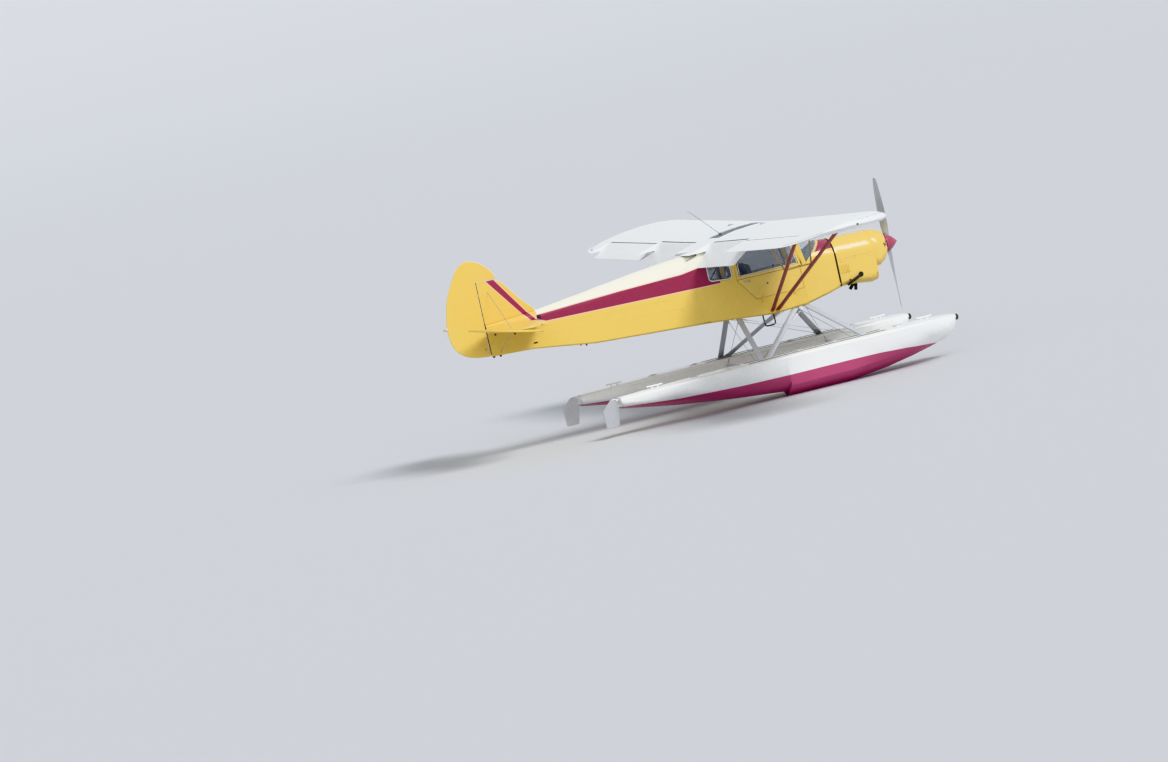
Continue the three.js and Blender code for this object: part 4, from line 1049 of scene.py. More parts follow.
# Dials stand on the panel's face: y, z, radius. The rim's columns: height, share of the radius
dials = {
    "face": -1.445,
    "places": [(-0.22, -0.02, 0.040), (-0.125, -0.012, 0.040), (-0.03, -0.012, 0.040), (0.065, -0.012, 0.040),
               (0.15, -0.032, 0.030), (0.222, -0.032, 0.030)],
    "rim": [(-0.001, 1.0), (0.008, 1.0), (0.011, 0.95), (0.011, 0.88), (0.004, 0.84), (-0.001, 0.84)],
    "glass": [(0.0, 0.0), (0.0, 0.85), (0.003, 0.85), (0.003, 0.0)],
    "ticks": 12, "tick": (0.66, 0.79), "tickWide": 0.0012, "tickHigh": 0.0035,
    "needle": (-0.2, 0, 0.7), "needleWide": [0.0015, 0.0022, 0.0008], "needleHigh": 0.005,
    "compass": [(0, 0), (0, 0.020), (0.010, 0.030), (0.045, 0.034), (0.06, 0.028), (0.066, 0.0)],
    "compassPlace": (-1.395, 0.0, 0.172),
}


def makeDials():
    aft = Vector((-1, 0, 0))
    bezels, faces, needles, ticks = [], [], [], []
    for y, z, radius in dials["places"]:
        centre = spot(dials["face"], y, z)
        for group, profile in ((bezels, dials["rim"]), (faces, dials["glass"])):
            group.append(turnedShape([(high, radius * share) for high, share in profile], centre, aft, 28))
        for c, s in circle(dials["ticks"]):
            out = Vector((0, c, s)) * radius
            mark = [centre + out * share + aft * dials["tickHigh"] for share in dials["tick"]]
            ticks.append(tubeShape(mark, dials["tickWide"], 4))
        turn = y * 31 + 1  # each needle points its own way
        lean = Vector((0, math.cos(turn), math.sin(turn))) * radius
        pointer = [centre + lean * share + aft * dials["needleHigh"] for share in dials["needle"]]
        needles.append(tubeShape(pointer, dials["needleWide"], 6))
    makePiece("dialBezels", bezels, "blackPanel", angle=50)
    makePiece("dialFaces", faces, "darkTrim", "panel_black", angle=50)
    makePiece("dialMarks", ticks + needles, "whiteMetal", angle=50)
    compass = turnedShape(dials["compass"], spot(*dials["compassPlace"]), aft, 20)
    makePiece("compass", compass, "blackPanel", angle=50)


makeFrameTubes()
makeBoards()
makeSticks()
makePedals()
makeDials()
makeThrottles()

# Frames round the panes, on the skin outside. Columns: corners, corner radius, side, body, width
rearPane = [(-2.662, 0.030), (-3.030, 0.060), (-3.030, 0.450), (-2.662, 0.465)]
paneFrames = {
    "frameLeftFront": ([(-2.560, 0.025), (-2.560, 0.465), (-1.706, 0.465), (-1.622, 0.025)], 0.030, 1,
                       "airframe", 0.018),
    "frameLeftRear": (rearPane, 0.070, 1, "airframe", 0.018),
    "frameRightRear": (rearPane, 0.070, -1, "airframe", 0.018),
    "frameRightFront": ([(-2.568, 0.036), (-2.568, 0.431), (-1.737, 0.431), (-1.661, 0.036)], 0.012, -1,
                        "door_upper", 0.014),
}
# Places out from the middle, and how far the inner edges lie inside the opening's outline
paneTrim = {"low": 0.3552, "high": 0.3572, "lap": 0.006, "screwY": 0.3574, "screws": (0.06, 0.0024),
            "gasketY": 0.3485, "seal": 0.010, "gasket": 0.0035}


def makePaneFrame(name, corners, radius, sign, body, wide):
    outline = roundedOutline(corners, radius)
    band = bandShape(drawnIn(outline, -wide), drawnIn(outline, paneTrim["lap"]),
                     lambda x, z, y: spot(x, sign * y, z), paneTrim["low"], paneTrim["high"])
    makePiece(name, band, "whiteMetal", body=body, bevel=0.0008)
    row = [spot(p.x, sign * paneTrim["screwY"], p.y) for p in drawnIn(outline, -wide / 2)]
    makeStuds(name + "Screws", [row + row[:1]], paneTrim["screws"], "brightSteel", body)
    gasket = [spot(p.x, sign * paneTrim["gasketY"], p.y) for p in drawnIn(outline, paneTrim["seal"])]
    makePiece(name + "Gasket", tubeLoop(gasket, paneTrim["gasket"]), "blackRubber", body=body, angle=70)


for name, row in paneFrames.items():
    makePaneFrame(name, *row)

# The windshield's strips: its foot follows the slanted cut in the boot cowl
glassTrim = {"slope": 0.9213, "footX": -1.533, "footWide": 0.036, "lift": 0.0022, "postY": 0.3472,
             "screws": (0.055, 0.0026), "posts": [(-1.548, 0.01), (-1.60, 0.27), (-1.650, 0.535)],
             "wide": 0.030, "topHalf": 0.335, "topZ": 0.60, "topFall": 0.6, "topLift": 0.002,
             "split": 0.018, "splitLift": 0.0016}


def makeWindshieldTrim():
    slant = Vector((1, 0, glassTrim["slope"])).normalized()
    ways = [Vector((0, c, 0)) + slant * s for c, s in arc(2, 178, 45)]
    centre, lift, wide = spot(glassTrim["footX"], 0, 0), glassTrim["lift"], glassTrim["wide"]
    foot = skinLine("boot_cowl", [centre + way * 1.5 for way in ways], [-way for way in ways])
    foot = [(p, n) for p, n in foot if (p - centre).length > 0.2]
    makePiece("windshieldFoot", ribbonShape(foot, glassTrim["footWide"], lift), "frameMetal", angle=50)
    makeStuds("windshieldScrews", [[p + n * lift for p, n in foot]], glassTrim["screws"], "brightSteel")
    post = ribbonShape([(spot(x, glassTrim["postY"], z), Vector((0, 1, 0))) for x, z in glassTrim["posts"]],
                       wide, lift)
    makePiece("windshieldPosts", bothSides(post), "frameMetal", angle=50)
    starts = [spot(-1.2, y, glassTrim["topZ"] - abs(y) ** 3 * glassTrim["topFall"])
              for y in steps(-glassTrim["topHalf"], glassTrim["topHalf"], 25)]
    top = ribbonShape(skinLine("windshield", starts, (-1, 0, -0.12)), wide, glassTrim["topLift"])
    makePiece("windshieldTop", top, "whiteMetal", angle=50)
    starts = [spot(-1.455 - 0.18 * t, 0, 0.262 + 0.335 * t) + Vector((0.4, 0, 0.25)) for t in steps(0, 1, 5)]
    line = skinLine("windshield", starts, (-0.85, 0, -0.53))
    makePiece("windshieldSplit", ribbonShape(line, glassTrim["split"], glassTrim["splitLift"]), "frameMetal",
              angle=50)


makeWindshieldTrim()
print("cabin made")

# What shows behind the two inlets: finned cylinders, leads and the starter's toothed ring
engine = {
    "cylinder": (-0.336, 0.118, -0.008), "fins": 15, "pitch": 0.0095,
    "fin": [(0, 0), (0, 0.060), (0.002, 0.062), (0.004, 0.060), (0.004, 0)],
    "barrel": [(0, 0), (0, 0.050), (0.14, 0.050), (0.14, 0)],
    "lead": [(-0.300, 0.150, 0.02), (-0.285, 0.170, 0.035), (-0.290, 0.195, 0.030), (-0.33, 0.21, 0.02)],
    "teeth": 72, "ringRadii": (0.124, 0.128), "ringInside": 0.86, "ringX": (-0.2085, -0.2125),
}
inlets = {"y": 0.178, "z": -0.008, "radius": 0.0655, "rim": 0.0045, "sunk": 0.001, "points": 40, "turn": 354}
# The bowl's round corners leave the cowl's lower corners open, and a plate closes each
cheek = {"y": 0.148, "z": -0.142, "radius": 0.140, "x": (-0.4702, -0.4760),
         "square": [(0.289, -0.150), (0.289, -0.296), (0.148, -0.296)]}
chin = {"slat": (0.074, 0.0025), "slatX": (-0.462, -0.474), "slatZ": -0.418, "slats": 8, "pitch": 0.0095,
        "rimX": -0.4695, "hole": (-0.075, -0.345, 0.075, -0.425), "round": 0.025, "rim": 0.004, "out": 0.003}


def makeEngine():
    fins, barrels, leads = [], [], []
    x, y, z = engine["cylinder"]
    for sign in signs:
        start, out = spot(x, sign * y, z), Vector((0, sign, 0))
        fins += [turnedShape(engine["fin"], start + out * engine["pitch"] * i, out, 18)
                 for i in range(engine["fins"])]
        barrels.append(turnedShape(engine["barrel"], start, out, 18))
        leads.append(tubeShape(spots(engine["lead"], sign), 0.004, 8))
    makePiece("cylinderFins", fins + barrels, "castIron", angle=50)
    makePiece("sparkLeads", leads, "blackRubber", angle=60)
    teeth = [(c * engine["ringRadii"][i % 2], s * engine["ringRadii"][i % 2])
             for i, (c, s) in enumerate(circle(engine["teeth"]))]
    inside = [(y * engine["ringInside"], z * engine["ringInside"]) for y, z in teeth]
    makePiece("flywheel", bandShape(teeth, inside, frontSpot, *engine["ringX"]), "brightSteel",
              "propeller_metal", "propeller", angle=30)


def makeInlets():
    rims = []
    for sign in signs:
        starts = [spot(0, sign * inlets["y"] + c * inlets["radius"], inlets["z"] + s * inlets["radius"])
                  for c, s in arc(0, inlets["turn"], inlets["points"])]
        ring = pointsOf(skinLine("nose_bowl", starts, (-1, 0, 0)))
        rims.append(tubeLoop([p - Vector((inlets["sunk"], 0, 0)) for p in ring], inlets["rim"]))
    makePiece("inletRims", rims, "yellowMetal", angle=70)


def makeCheekPlates():
    corner = [(cheek["y"] + cheek["radius"] * c, cheek["z"] + cheek["radius"] * s)
              for c, s in arc(-90, 0, 12)]
    plate = slabShape(corner + cheek["square"], frontSpot, *cheek["x"])
    makePiece("cheekPlates", bothSides(plate), "yellowMetal", bevel=0.0006)


def makeChin():
    half, thick = chin["slat"]
    slat = slabShape(rectangle(-half, chin["slatZ"], half, chin["slatZ"] + thick), frontSpot, *chin["slatX"])
    makeRow("chinGrille", slat, chin["slats"], (0, 0, chin["pitch"]), "darkTrim", "engine_metal")
    makeCheekPlates()
    rim = drawnIn(roundedOutline(rectangle(*chin["hole"]), chin["round"]), -chin["out"])
    makePiece("chinRim", tubeLoop([spot(chin["rimX"], p.x, p.y) for p in rim], chin["rim"]), "darkTrim",
              "engine_metal", angle=70)


# Columns of the rings: node, station. Of the seams: node, station, width, lift, finish
cowl = {
    "middle": -0.06, "rings": [("engine_cowl", -0.486), ("engine_cowl", -1.030), ("nose_bowl", -0.455),
                               ("boot_cowl", -1.112)],
    "seams": {"noseSeam": ("engine_cowl", -0.476, 0.012, 0.0022, "yellowMetal"),
              "rearSeam": ("boot_cowl", -1.082, 0.017, 0.0008, "seamShadow"),
              "rearLip": ("engine_cowl", -1.049, 0.026, 0.0022, "yellowMetal")},
    "screws": (0.045, 0.0032), "hinge": -0.045, "hingeEnds": (-1.045, -0.49), "hingeWide": 0.0035,
    "hingeOut": 0.002, "latches": (-0.56, -0.78, -0.99), "latchZ": -0.080,
    "latch": (0.018, 0.026, 0.008), "latchDepth": (-0.003, 0.0035),
}
louvres = {"x": -0.905, "z": -0.20, "count": 7, "pitch": 0.022, "aim": 0.02,
           "blade": [(-0.0125, -0.004), (-0.0075, 0.0095), (0.0065, 0.0085), (0.0125, -0.004)],
           "levels": (-0.0565, -0.048, 0.048, 0.0565)}


def makeCowl():
    for i, (node, x) in enumerate(cowl["rings"]):
        line = pointsOf(around(node, x, cowl["middle"], arc(-88, 268, 110)))
        makeStuds(f"cowlScrews{i}", [line], cowl["screws"], "yellowMetal")
    for name, (node, x, width, lift, finish) in cowl["seams"].items():
        line = around(node, x, cowl["middle"], arc(-90, 270, 120))
        makePiece(name, ribbonShape(line, width, lift), finish, angle=50)
    hinges, plates = [], []
    for sign in signs:
        line = fromSide("engine_cowl", sign, [(x, cowl["hinge"]) for x in steps(*cowl["hingeEnds"], 14)])
        hinges.append(tubeShape([p + n * cowl["hingeOut"] for p, n in line], cowl["hingeWide"], 8))
        latches = fromSide("engine_cowl", sign, [(x, cowl["latchZ"]) for x in cowl["latches"]])
        plates += [sidePlate(hit, roundedPlate(*cowl["latch"]), sign, *cowl["latchDepth"])
                   for hit, _ in latches]
    makePiece("cowlHinges", hinges, "yellowMetal", angle=70)
    makePiece("cowlLatches", plates, "yellowMetal", bevel=0.001)


def makeLouvres():
    for name, sign in sides.items():
        hit, _ = fromSide("engine_cowl", sign, [(louvres["x"] + louvres["aim"], louvres["z"])])[0]
        place = Vector((spot(louvres["x"], 0, 0).x, sign * hit.y, hit.z))
        blade = ringShape([[place + Vector((x, y, z)) for x, y in louvres["blade"]]
                           for z in louvres["levels"]])
        makeRow("louvres" + name.capitalize(), sidedShape(blade, sign), louvres["count"],
                (-louvres["pitch"], 0, 0), "yellowMetal")


# A second pipe that leaves the right cheek and runs aft along it to an open end
sidePipe = {
    "route": [(-0.735, -0.300, -0.326), (-0.760, -0.336, -0.337), (-0.80, -0.349, -0.354),
              (-0.90, -0.350, -0.398), (-0.985, -0.349, -0.436)],
    "outer": 0.021, "bore": [(0.0, 0.018), (0.05, 0.018), (0.05, 0.0005)], "around": 20,
    "collar": [(-0.02, 0.0), (-0.02, 0.036), (0.006, 0.036), (0.010, 0.031), (0.010, 0.0)],
    "collarPlace": (-0.752, -0.326, -0.333), "collarWay": (-0.35, -0.85, -0.25),
    "stay": [(-0.925, -0.318, -0.365), (-0.925, -0.345, -0.372), (-0.925, -0.350, -0.385)],
}


def makeSidePipe():
    route, count = spots(sidePipe["route"]), sidePipe["around"]
    end, ahead = route[-1], (route[-1] - route[-2]).normalized()
    points = tubeShape(route, sidePipe["outer"], count)[0]
    rings = [points[i:i + count] for i in range(0, len(points), count)]
    mouth = rings[-1]
    rings += [[end - ahead * back + (p - end) * (radius / sidePipe["outer"]) for p in mouth]
              for back, radius in sidePipe["bore"]]
    makePiece("sidePipe", ringShape(rings), "sootSteel", angle=60)
    collar = turnedShape(sidePipe["collar"], spot(*sidePipe["collarPlace"]), sidePipe["collarWay"], 24)
    makePiece("sidePipeCollar", collar, "sootSteel")
    makePiece("sidePipeStay", tubeShape(spots(sidePipe["stay"]), 0.005, 8, 2.0), "sootSteel", angle=60)


makeEngine()
makeInlets()
makeChin()
makeCowl()
makeLouvres()
makeSidePipe()
print("nose made")

# Wings: lengths run in the wing's own frame, x forward from the front edge and y out from the root
wingFrame = {"front": -1.660, "root": 0.359, "under": 0.550, "incidence": -1.6, "dihedral": 1.0}
tape = {"lift": 0.0005, "crown": 0.0012, "surface": 0.024, "chord": 0.355, "tail": 0.022, "tailCrown": 0.0010}
ribs = {"first": 0.12, "pitch": 0.3475, "count": 13, "wide": 0.026, "ends": (-1.13, -0.01), "noseZ": 0.0575}
spars = {"x": (-0.30, -0.94), "y": (0.02, 4.28), "wide": 0.030, "lift": 0.0004, "crown": 0.0010}
surfaceFrames = {
    "flap": {"x": -1.206, "z": 0.050, "first": 0.08, "pitch": 0.4125, "count": 5,
             "drop": {"left": 33, "right": 33}, "eyes": (0.200, 0.930, 1.660)},
    "aileron": {"x": -1.262, "z": 0.044, "first": 1.90, "pitch": 0.39, "count": 7,
                "drop": {"left": 16, "right": 0}, "eyes": (2.050, 3.060, 4.080)},
}


def turnAbout(axis, degrees):
    return Matrix.Rotation(math.radians(degrees), 4, axis)


def wingMatrix(sign):
    place = Matrix.Translation(spot(wingFrame["front"], sign * wingFrame["root"], wingFrame["under"]))
    return place @ turnAbout("X", sign * wingFrame["dihedral"]) @ turnAbout("Y", wingFrame["incidence"])


def castLine(node, matrix, starts, toward):
    return skinLine(node, [matrix @ Vector(p) for p in starts], matrix.to_3x3() @ Vector(toward))


def tapes(lines, width, lift=tape["lift"], crown=tape["crown"]):
    # Ribbons on the lines that lie on the skin, without those that miss it
    return [ribbonShape(line, width, lift, crown) for line in lines if len(line) > 3]


def makeRibs(side, sign):
    matrix, node, y = wingMatrix(sign), f"wing_{side}", sign * ribs["first"]
    rear, front = ribs["ends"]
    top = castLine(node, matrix, [(x, y, 0.5) for x in steps(rear, front, 22)], (0, 0, -1))
    under = castLine(node, matrix, [(x, y, -0.3) for x in steps(front, rear, 22)], (0, 0, 1))
    nose = castLine(node, matrix, [(0.3, y, ribs["noseZ"])], (-1, 0, 0))
    pitch = matrix.to_3x3() @ Vector((0, sign, 0)) * ribs["pitch"]
    makeRow(f"ribTapes_{side}", ribbonShape(top + nose + under, ribs["wide"], tape["lift"], tape["crown"]),
            ribs["count"], pitch, "whiteCloth", angle=60)
    lines = [castLine(node, matrix, [(x, sign * out, z) for out in steps(*spars["y"], 14)], (0, 0, -z))
             for x in spars["x"] for z in (0.5, -0.3)]
    makePiece(f"sparTapes_{side}", tapes(lines, spars["wide"], spars["lift"], spars["crown"]), "whiteCloth",
              angle=60)


def makeSurfaceTapes(side, sign):
    for kind, hinge in surfaceFrames.items():
        member = f"{kind}_{side}"
        matrix = wingMatrix(sign) @ Matrix.Translation((hinge["x"], 0, hinge["z"])) @ turnAbout(
            "Y", -hinge["drop"][side])
        lines = [castLine(member, matrix, [(x, sign * (hinge["first"] + hinge["pitch"] * i), z)
                                           for x in steps(0.0, -tape["chord"], 9)], (0, 0, -z))
                 for i in range(hinge["count"]) for z in (0.3, -0.3)]
        makePiece(f"{kind}Tapes_{side}", tapes(lines, tape["surface"]), "whiteCloth", body=member, angle=60)


# Columns of the profiles: height, radius
wingTrim = {
    "tip": {"y": 4.321, "long": 0.685, "front": (-0.672, -0.045), "rear": (0.448, -1.54), "inset": 0.045},
    "tipTape": (0.012, 0.0008), "roofX": (-3.20, -1.70), "roofY": 0.345, "roofOut": 0.012,
    "fairing": (0.060, 0.0015, 0.001), "cap": (-0.52, 0.42, 0.5), "lamp": (-0.62, 5.5, 0.075),
    "bracketHalf": 0.0045,
    "capFlange": [(-0.002, 0), (-0.002, 0.052), (0.0025, 0.052), (0.0035, 0.046), (0.0035, 0.0)],
    "capKnob": [(0, 0), (0, 0.034), (0.014, 0.034), (0.018, 0.029), (0.018, 0)],
    "lampBase": [(-0.02, 0), (-0.02, 0.024), (0.006, 0.022), (0.006, 0)],
    "lens": [(0.004, 0), (0.004, 0.017), (0.016, 0.017), (0.026, 0.013), (0.032, 0.006), (0.034, 0)],
    "bracket": [(0.085, -0.002), (0.075, -0.012), (-0.012, -0.020), (-0.022, 0.0), (-0.022, 0.030),
                (0.0, 0.036)],
}


def makeTipTape(side, sign, matrix):
    # The tape follows the tip's bow, dark grey as painted shade where the top turns down; share says how far
    # the bow has come in from either edge
    bow = wingTrim["tip"]
    shares = [min(0.02 * i ** 1.6, 0.93) for i in range(1, 12)]
    outs = [bow["y"] + bow["long"] * math.sqrt(1 - (1 - share) ** 2) - bow["inset"] for share in shares]
    front, rear = ([(slope * share + start, sign * y, 0.5) for share, y in zip(shares, outs)]
                   for slope, start in (bow["front"], bow["rear"]))
    line = castLine(f"wing_{side}", matrix, front + rear[::-1], (0, 0, -1))
    makePiece(f"tipTape_{side}", ribbonShape(line, *wingTrim["tipTape"]), "bowTapeShade", angle=60)


def makeWingTrim(side, sign):
    matrix, node = wingMatrix(sign), f"wing_{side}"
    makeTipTape(side, sign, matrix)
    roof = upright("cabin_roof", [(x, sign * wingTrim["roofY"]) for x in steps(*wingTrim["roofX"], 26)])
    out = Vector((0, sign * wingTrim["roofOut"], 0))
    fairing = ribbonShape([(p + out, n) for p, n in roof], *wingTrim["fairing"])
    makePiece(f"rootFairing_{side}", fairing, "whiteMetal", angle=60)
    x, y, z = wingTrim["cap"]
    cap, normal = castLine(node, matrix, [(x, sign * y, z)], (0, 0, -1))[0]
    makePiece(f"fuelCap_{side}", [turnedShape(wingTrim["capFlange"], cap, normal, 28),
                                  turnedShape(wingTrim["capKnob"], cap, normal, 20)],
              "bareAluminium", "propeller_metal")
    x, y, z = wingTrim["lamp"]
    tip, _ = castLine(node, matrix, [(x, sign * y, z)], (0, -sign, 0))[0]
    out = matrix.to_3x3() @ Vector((0, sign, 0))
    makePiece(f"lampBase_{side}", turnedShape(wingTrim["lampBase"], tip, out, 20), "whiteMetal")
    makePiece(f"navLamp_{side}", turnedShape(wingTrim["lens"], tip, out, 20),
              "redLens" if side == "left" else "greenLens", angle=60)
    half = wingTrim["bracketHalf"]
    for kind, hinge in surfaceFrames.items():
        plate = [(hinge["x"] + x, z) for x, z in wingTrim["bracket"]]
        brackets = [movedShape(slabShape(plate, lambda x, z, y: Vector((x, y, z)), sign * eye - half,
                                         sign * eye + half), matrix) for eye in hinge["eyes"]]
        makePiece(f"{kind}Brackets_{side}", brackets, "whiteMetal", bevel=0.001)


# The pitot mast hangs under the left wing and the antenna stands on the roof
masts = {
    "pitot": [(-0.30, 2.70, 0.004), (-0.30, 2.70, -0.06), (-0.285, 2.70, -0.105), (-0.25, 2.70, -0.12)],
    "probe": [(-0.252, 2.70, -0.12), (-0.13, 2.70, -0.12), (-0.12, 2.70, -0.12)],
    "probeWide": [0.0075, 0.0065, 0.003], "whipWide": [0.0045, 0.004, 0.003, 0.0018],
    "whip": [(-2.60, 0, 0.665), (-2.615, 0, 0.70), (-2.83, 0, 0.93), (-3.01, 0, 1.115)],
    "foot": [(0, 0), (0, 0.028), (0.006, 0.026), (0.012, 0.013), (0.035, 0.009), (0.035, 0)],
    "footPlace": (-2.60, 0, 0.668),
}


def makeMasts():
    pitot = [tubeShape(masts["pitot"], masts["probeWide"][0], 12),
             tubeShape(masts["probe"], masts["probeWide"], 12)]
    makePiece("pitotMast", [movedShape(shape, wingMatrix(1)) for shape in pitot], "bareAluminium",
              "propeller_metal", angle=60)
    makePiece("roofAntenna", [tubeShape(spots(masts["whip"]), masts["whipWide"], 10),
                              turnedShape(masts["foot"], spot(*masts["footPlace"]), (0.05, 0, 1), 20)],
              "darkTrim", angle=60)


for side, sign in sides.items():
    makeRibs(side, sign)
    makeSurfaceTapes(side, sign)
    makeWingTrim(side, sign)
makeMasts()
print("wings dressed")

# Strut ends: cuffs, and the plates under the float struts. Columns: strut, chord, thickness
liftCuffs = [("front", 0.076, 0.030), ("rear", 0.062, 0.026)]
floatCuffs = [("front", 0.084, 0.034), ("middle", 0.084, 0.034), ("rear", 0.084, 0.034)]
cuffRings = [(-0.05, 0.0), (-0.049, 0.0025), (0.049, 0.0025), (0.05, 0.0)]  # place along, growth
deckPads = {"x": (-1.140, -2.600, -2.700), "y": 1.01, "plate": (0.065, 0.05, 0.02), "depth": (-0.001, 0.006)}


def endsOf(node):
    # The two ends of a strut, as the middles of its lowest and highest points
    points = sorted((v.co for v in nodes[node].data.vertices), key=lambda p: p.z)
    low, high = points[0].z, points[-1].z
    reach = (high - low) * 0.08
    groups = [p for p in points if p.z < low + reach], [p for p in points if p.z > high - reach]
    return [sum(group, Vector()) / len(group) for group in groups]


def cuffShape(along, chord, thick, centre):
    axis = along.normalized()
    fore = (Vector((1, 0, 0)) - axis * axis.x).normalized()
    across = axis.cross(fore)
    return ringShape([[centre + axis * step + fore * c * (chord / 2 + grow) + across * s * (thick / 2 + grow)
                       for c, s in circle(24)] for step, grow in cuffRings])


def cuffsOf(kind, side, cuffs, share):
    shapes = []
    for place, chord, thick in cuffs:
        low, high = endsOf(f"{kind}_{place}_{side}")
        shapes += [cuffShape(high - low, chord, thick, low + (high - low) * at) for at in (share, 1 - share)]
    return shapes


def makeStrutEnds(side, sign):
    makePiece(f"liftCuffs_{side}", cuffsOf("lift_strut", side, liftCuffs, 0.025), "strutPaint", angle=50)
    makePiece(f"floatCollars_{side}", cuffsOf("float_strut", side, floatCuffs, 0.07), "silverPaint", angle=50)
    feet = upright(f"float_{side}", [(x, sign * deckPads["y"]) for x in deckPads["x"]])
    pads = [plateAt(hit, roundedPlate(*deckPads["plate"]), "uvw", *deckPads["depth"]) for hit, _ in feet]
    makePiece(f"deckPads_{side}", pads, "bareAluminium", bevel=0.0015)


for side, sign in sides.items():
    makeStrutEnds(side, sign)

# Bracing wires between the float struts: thin steel rods with thicker ends
wires = {"pairs": [((-1.672, 0.300, -0.575), (-2.700, 1.010, -1.150)),
                   ((-1.140, 1.010, -1.130), (-2.690, 0.300, -0.555)),
                   ((-1.150, 0.720, -1.215), (-1.672, -0.290, -0.585)),
                   ((-2.690, 0.720, -1.220), (-2.690, -0.290, -0.56))],
         "radius": 0.0032, "end": 0.007, "insets": (0.02, 0.12, 0.125)}


def wireShape(first, second):
    along = (second - first).normalized()
    path = [first + along * inset for inset in wires["insets"]]
    path += [second - along * inset for inset in reversed(wires["insets"])]
    thin, thick = wires["radius"], wires["end"]
    return tubeShape(path, [thick, thick, thin, thin, thick, thick], 8)


makePiece("bracingWires", [wireShape(*spots(ends, sign)) for ends in wires["pairs"] for sign in signs],
          "brightSteel", angle=50)

# Floats: deck gear, seams and rivets. Columns of the profiles: height, radius
floatGear = {
    "middle": 1.050, "cleats": (-0.20, -4.35), "hatches": (-0.62, -1.60, -2.15, -3.10, -3.75),
    "walk": (-0.85, -2.95), "walkOff": 0.135, "keels": [(0.15, -2.44, 24), (-2.46, -4.88, 22)],
    "bulkheads": (-0.38, -0.80, -1.35, -1.90, -2.44, -3.00, -3.60, -4.20, -4.75),
    "rows": (-1.19, -1.25), "rowEnds": (0.10, -4.8), "rise": (-1.20, -1.40), "rivets": (0.045, 0.0028),
    "rivetHalf": 0.26, "seamHalf": 0.27, "seamAft": 0.012, "seam": (0.030, 0.0007),
    "grip": (0.03, 0.006, 0.004), "gripDepth": (0.009, 0.019),
    "post": [(0, 0), (0, 0.013), (0.006, 0.012), (0.012, 0.008), (0.035, 0.008), (0.035, 0)],
    "rim": [(-0.002, 0.078), (0.004, 0.076), (0.0045, 0.0)],
    "cover": [(0.003, 0), (0.003, 0.064), (0.0095, 0.062), (0.0105, 0.050), (0.0095, 0.034), (0.0095, 0)],
}
# The cleat's bar. Columns: place along, height, radius
cleatBar = [(-0.115, 0.044, 0.005), (-0.09, 0.040, 0.008), (-0.04, 0.036, 0.010), (0.04, 0.036, 0.010),
            (0.09, 0.040, 0.008), (0.115, 0.044, 0.005)]


def deckSpot(node, x, middle, beside):
    # A point on the deck's middle line, at the height that the deck has beside it
    hit, normal = upright(node, [(x, middle + beside)])[0]
    return Vector((hit.x, middle, hit.z)), normal


def makeDeckGear(side, node, middle):
    cleats, covers, rims = [], [], []
    for x in floatGear["cleats"]:
        hit, _ = deckSpot(node, x, middle, 0.03)
        cleats += [turnedShape(floatGear["post"], hit + Vector((along, 0, 0)), (0, 0, 1), 14)
                   for along in (-0.045, 0.045)]
        cleats.append(tubeShape([hit + Vector((along, 0, high)) for along, high, _ in cleatBar],
                                [radius for _, _, radius in cleatBar], 12))
    makePiece(f"cleats_{side}", cleats, "whiteMetal", angle=60)
    for x in floatGear["hatches"]:
        hit, normal = deckSpot(node, x, middle, 0.09)
        rims.append(turnedShape(floatGear["rim"], hit, normal, 32))
        covers.append(turnedShape(floatGear["cover"], hit, normal, 32))
        covers.append(plateAt(hit, roundedPlate(*floatGear["grip"]), "uvw", *floatGear["gripDepth"]))
    makePiece(f"hatchRims_{side}", rims, "whiteMetal", angle=50)
    makePiece(f"hatchCovers_{side}", covers, "bareAluminium", angle=50)


def makeFloatStrips(side, node, middle):
    walks = [upright(node, [(x, middle + off) for x in steps(*floatGear["walk"], 30)])
             for off in (-floatGear["walkOff"], floatGear["walkOff"])]
    keels = [upright(node, [(x, middle) for x in steps(*ends)], 1) for ends in floatGear["keels"]]
    for name, lines, width, lift, finish in (("walk", walks, 0.085, 0.0012, "gripStrip"),
                                             ("keel", keels, 0.040, 0.0, "bareAluminium")):
        strips = [ribbonShape(line, width, lift) for line in lines]
        makePiece(f"{name}Strips_{side}", strips, finish, angle=50)


def makeFloatSeams(side, node, middle):
    def deckLine(x, half, count):
        return upright(node, [(x, middle + off) for off in steps(-half, half, count)])

    lines = [fromSide(node, edge, [(x, row) for x in steps(*floatGear["rowEnds"], 60)], middle)
             for edge in signs for row in floatGear["rows"]]
    for x in floatGear["bulkheads"]:
        lines.append(deckLine(x, floatGear["rivetHalf"], 14))
        lines += [fromSide(node, edge, [(x, z) for z in steps(*floatGear["rise"], 5)], middle)
                  for edge in signs]
    rows = [pointsOf(line) for line in lines if len(line) > 1]
    makeStuds(f"floatRivets_{side}", rows, floatGear["rivets"], "whiteMetal")
    bands = [ribbonShape(deckLine(x - floatGear["seamAft"], floatGear["seamHalf"], 16), *floatGear["seam"])
             for x in floatGear["bulkheads"][1:-1]]
    makePiece(f"deckSeams_{side}", bands, "whiteMetal", angle=50)


for side, sign in sides.items():
    for make in (makeDeckGear, makeFloatStrips, makeFloatSeams):
        make(side, f"float_{side}", sign * floatGear["middle"])
print("floats dressed")

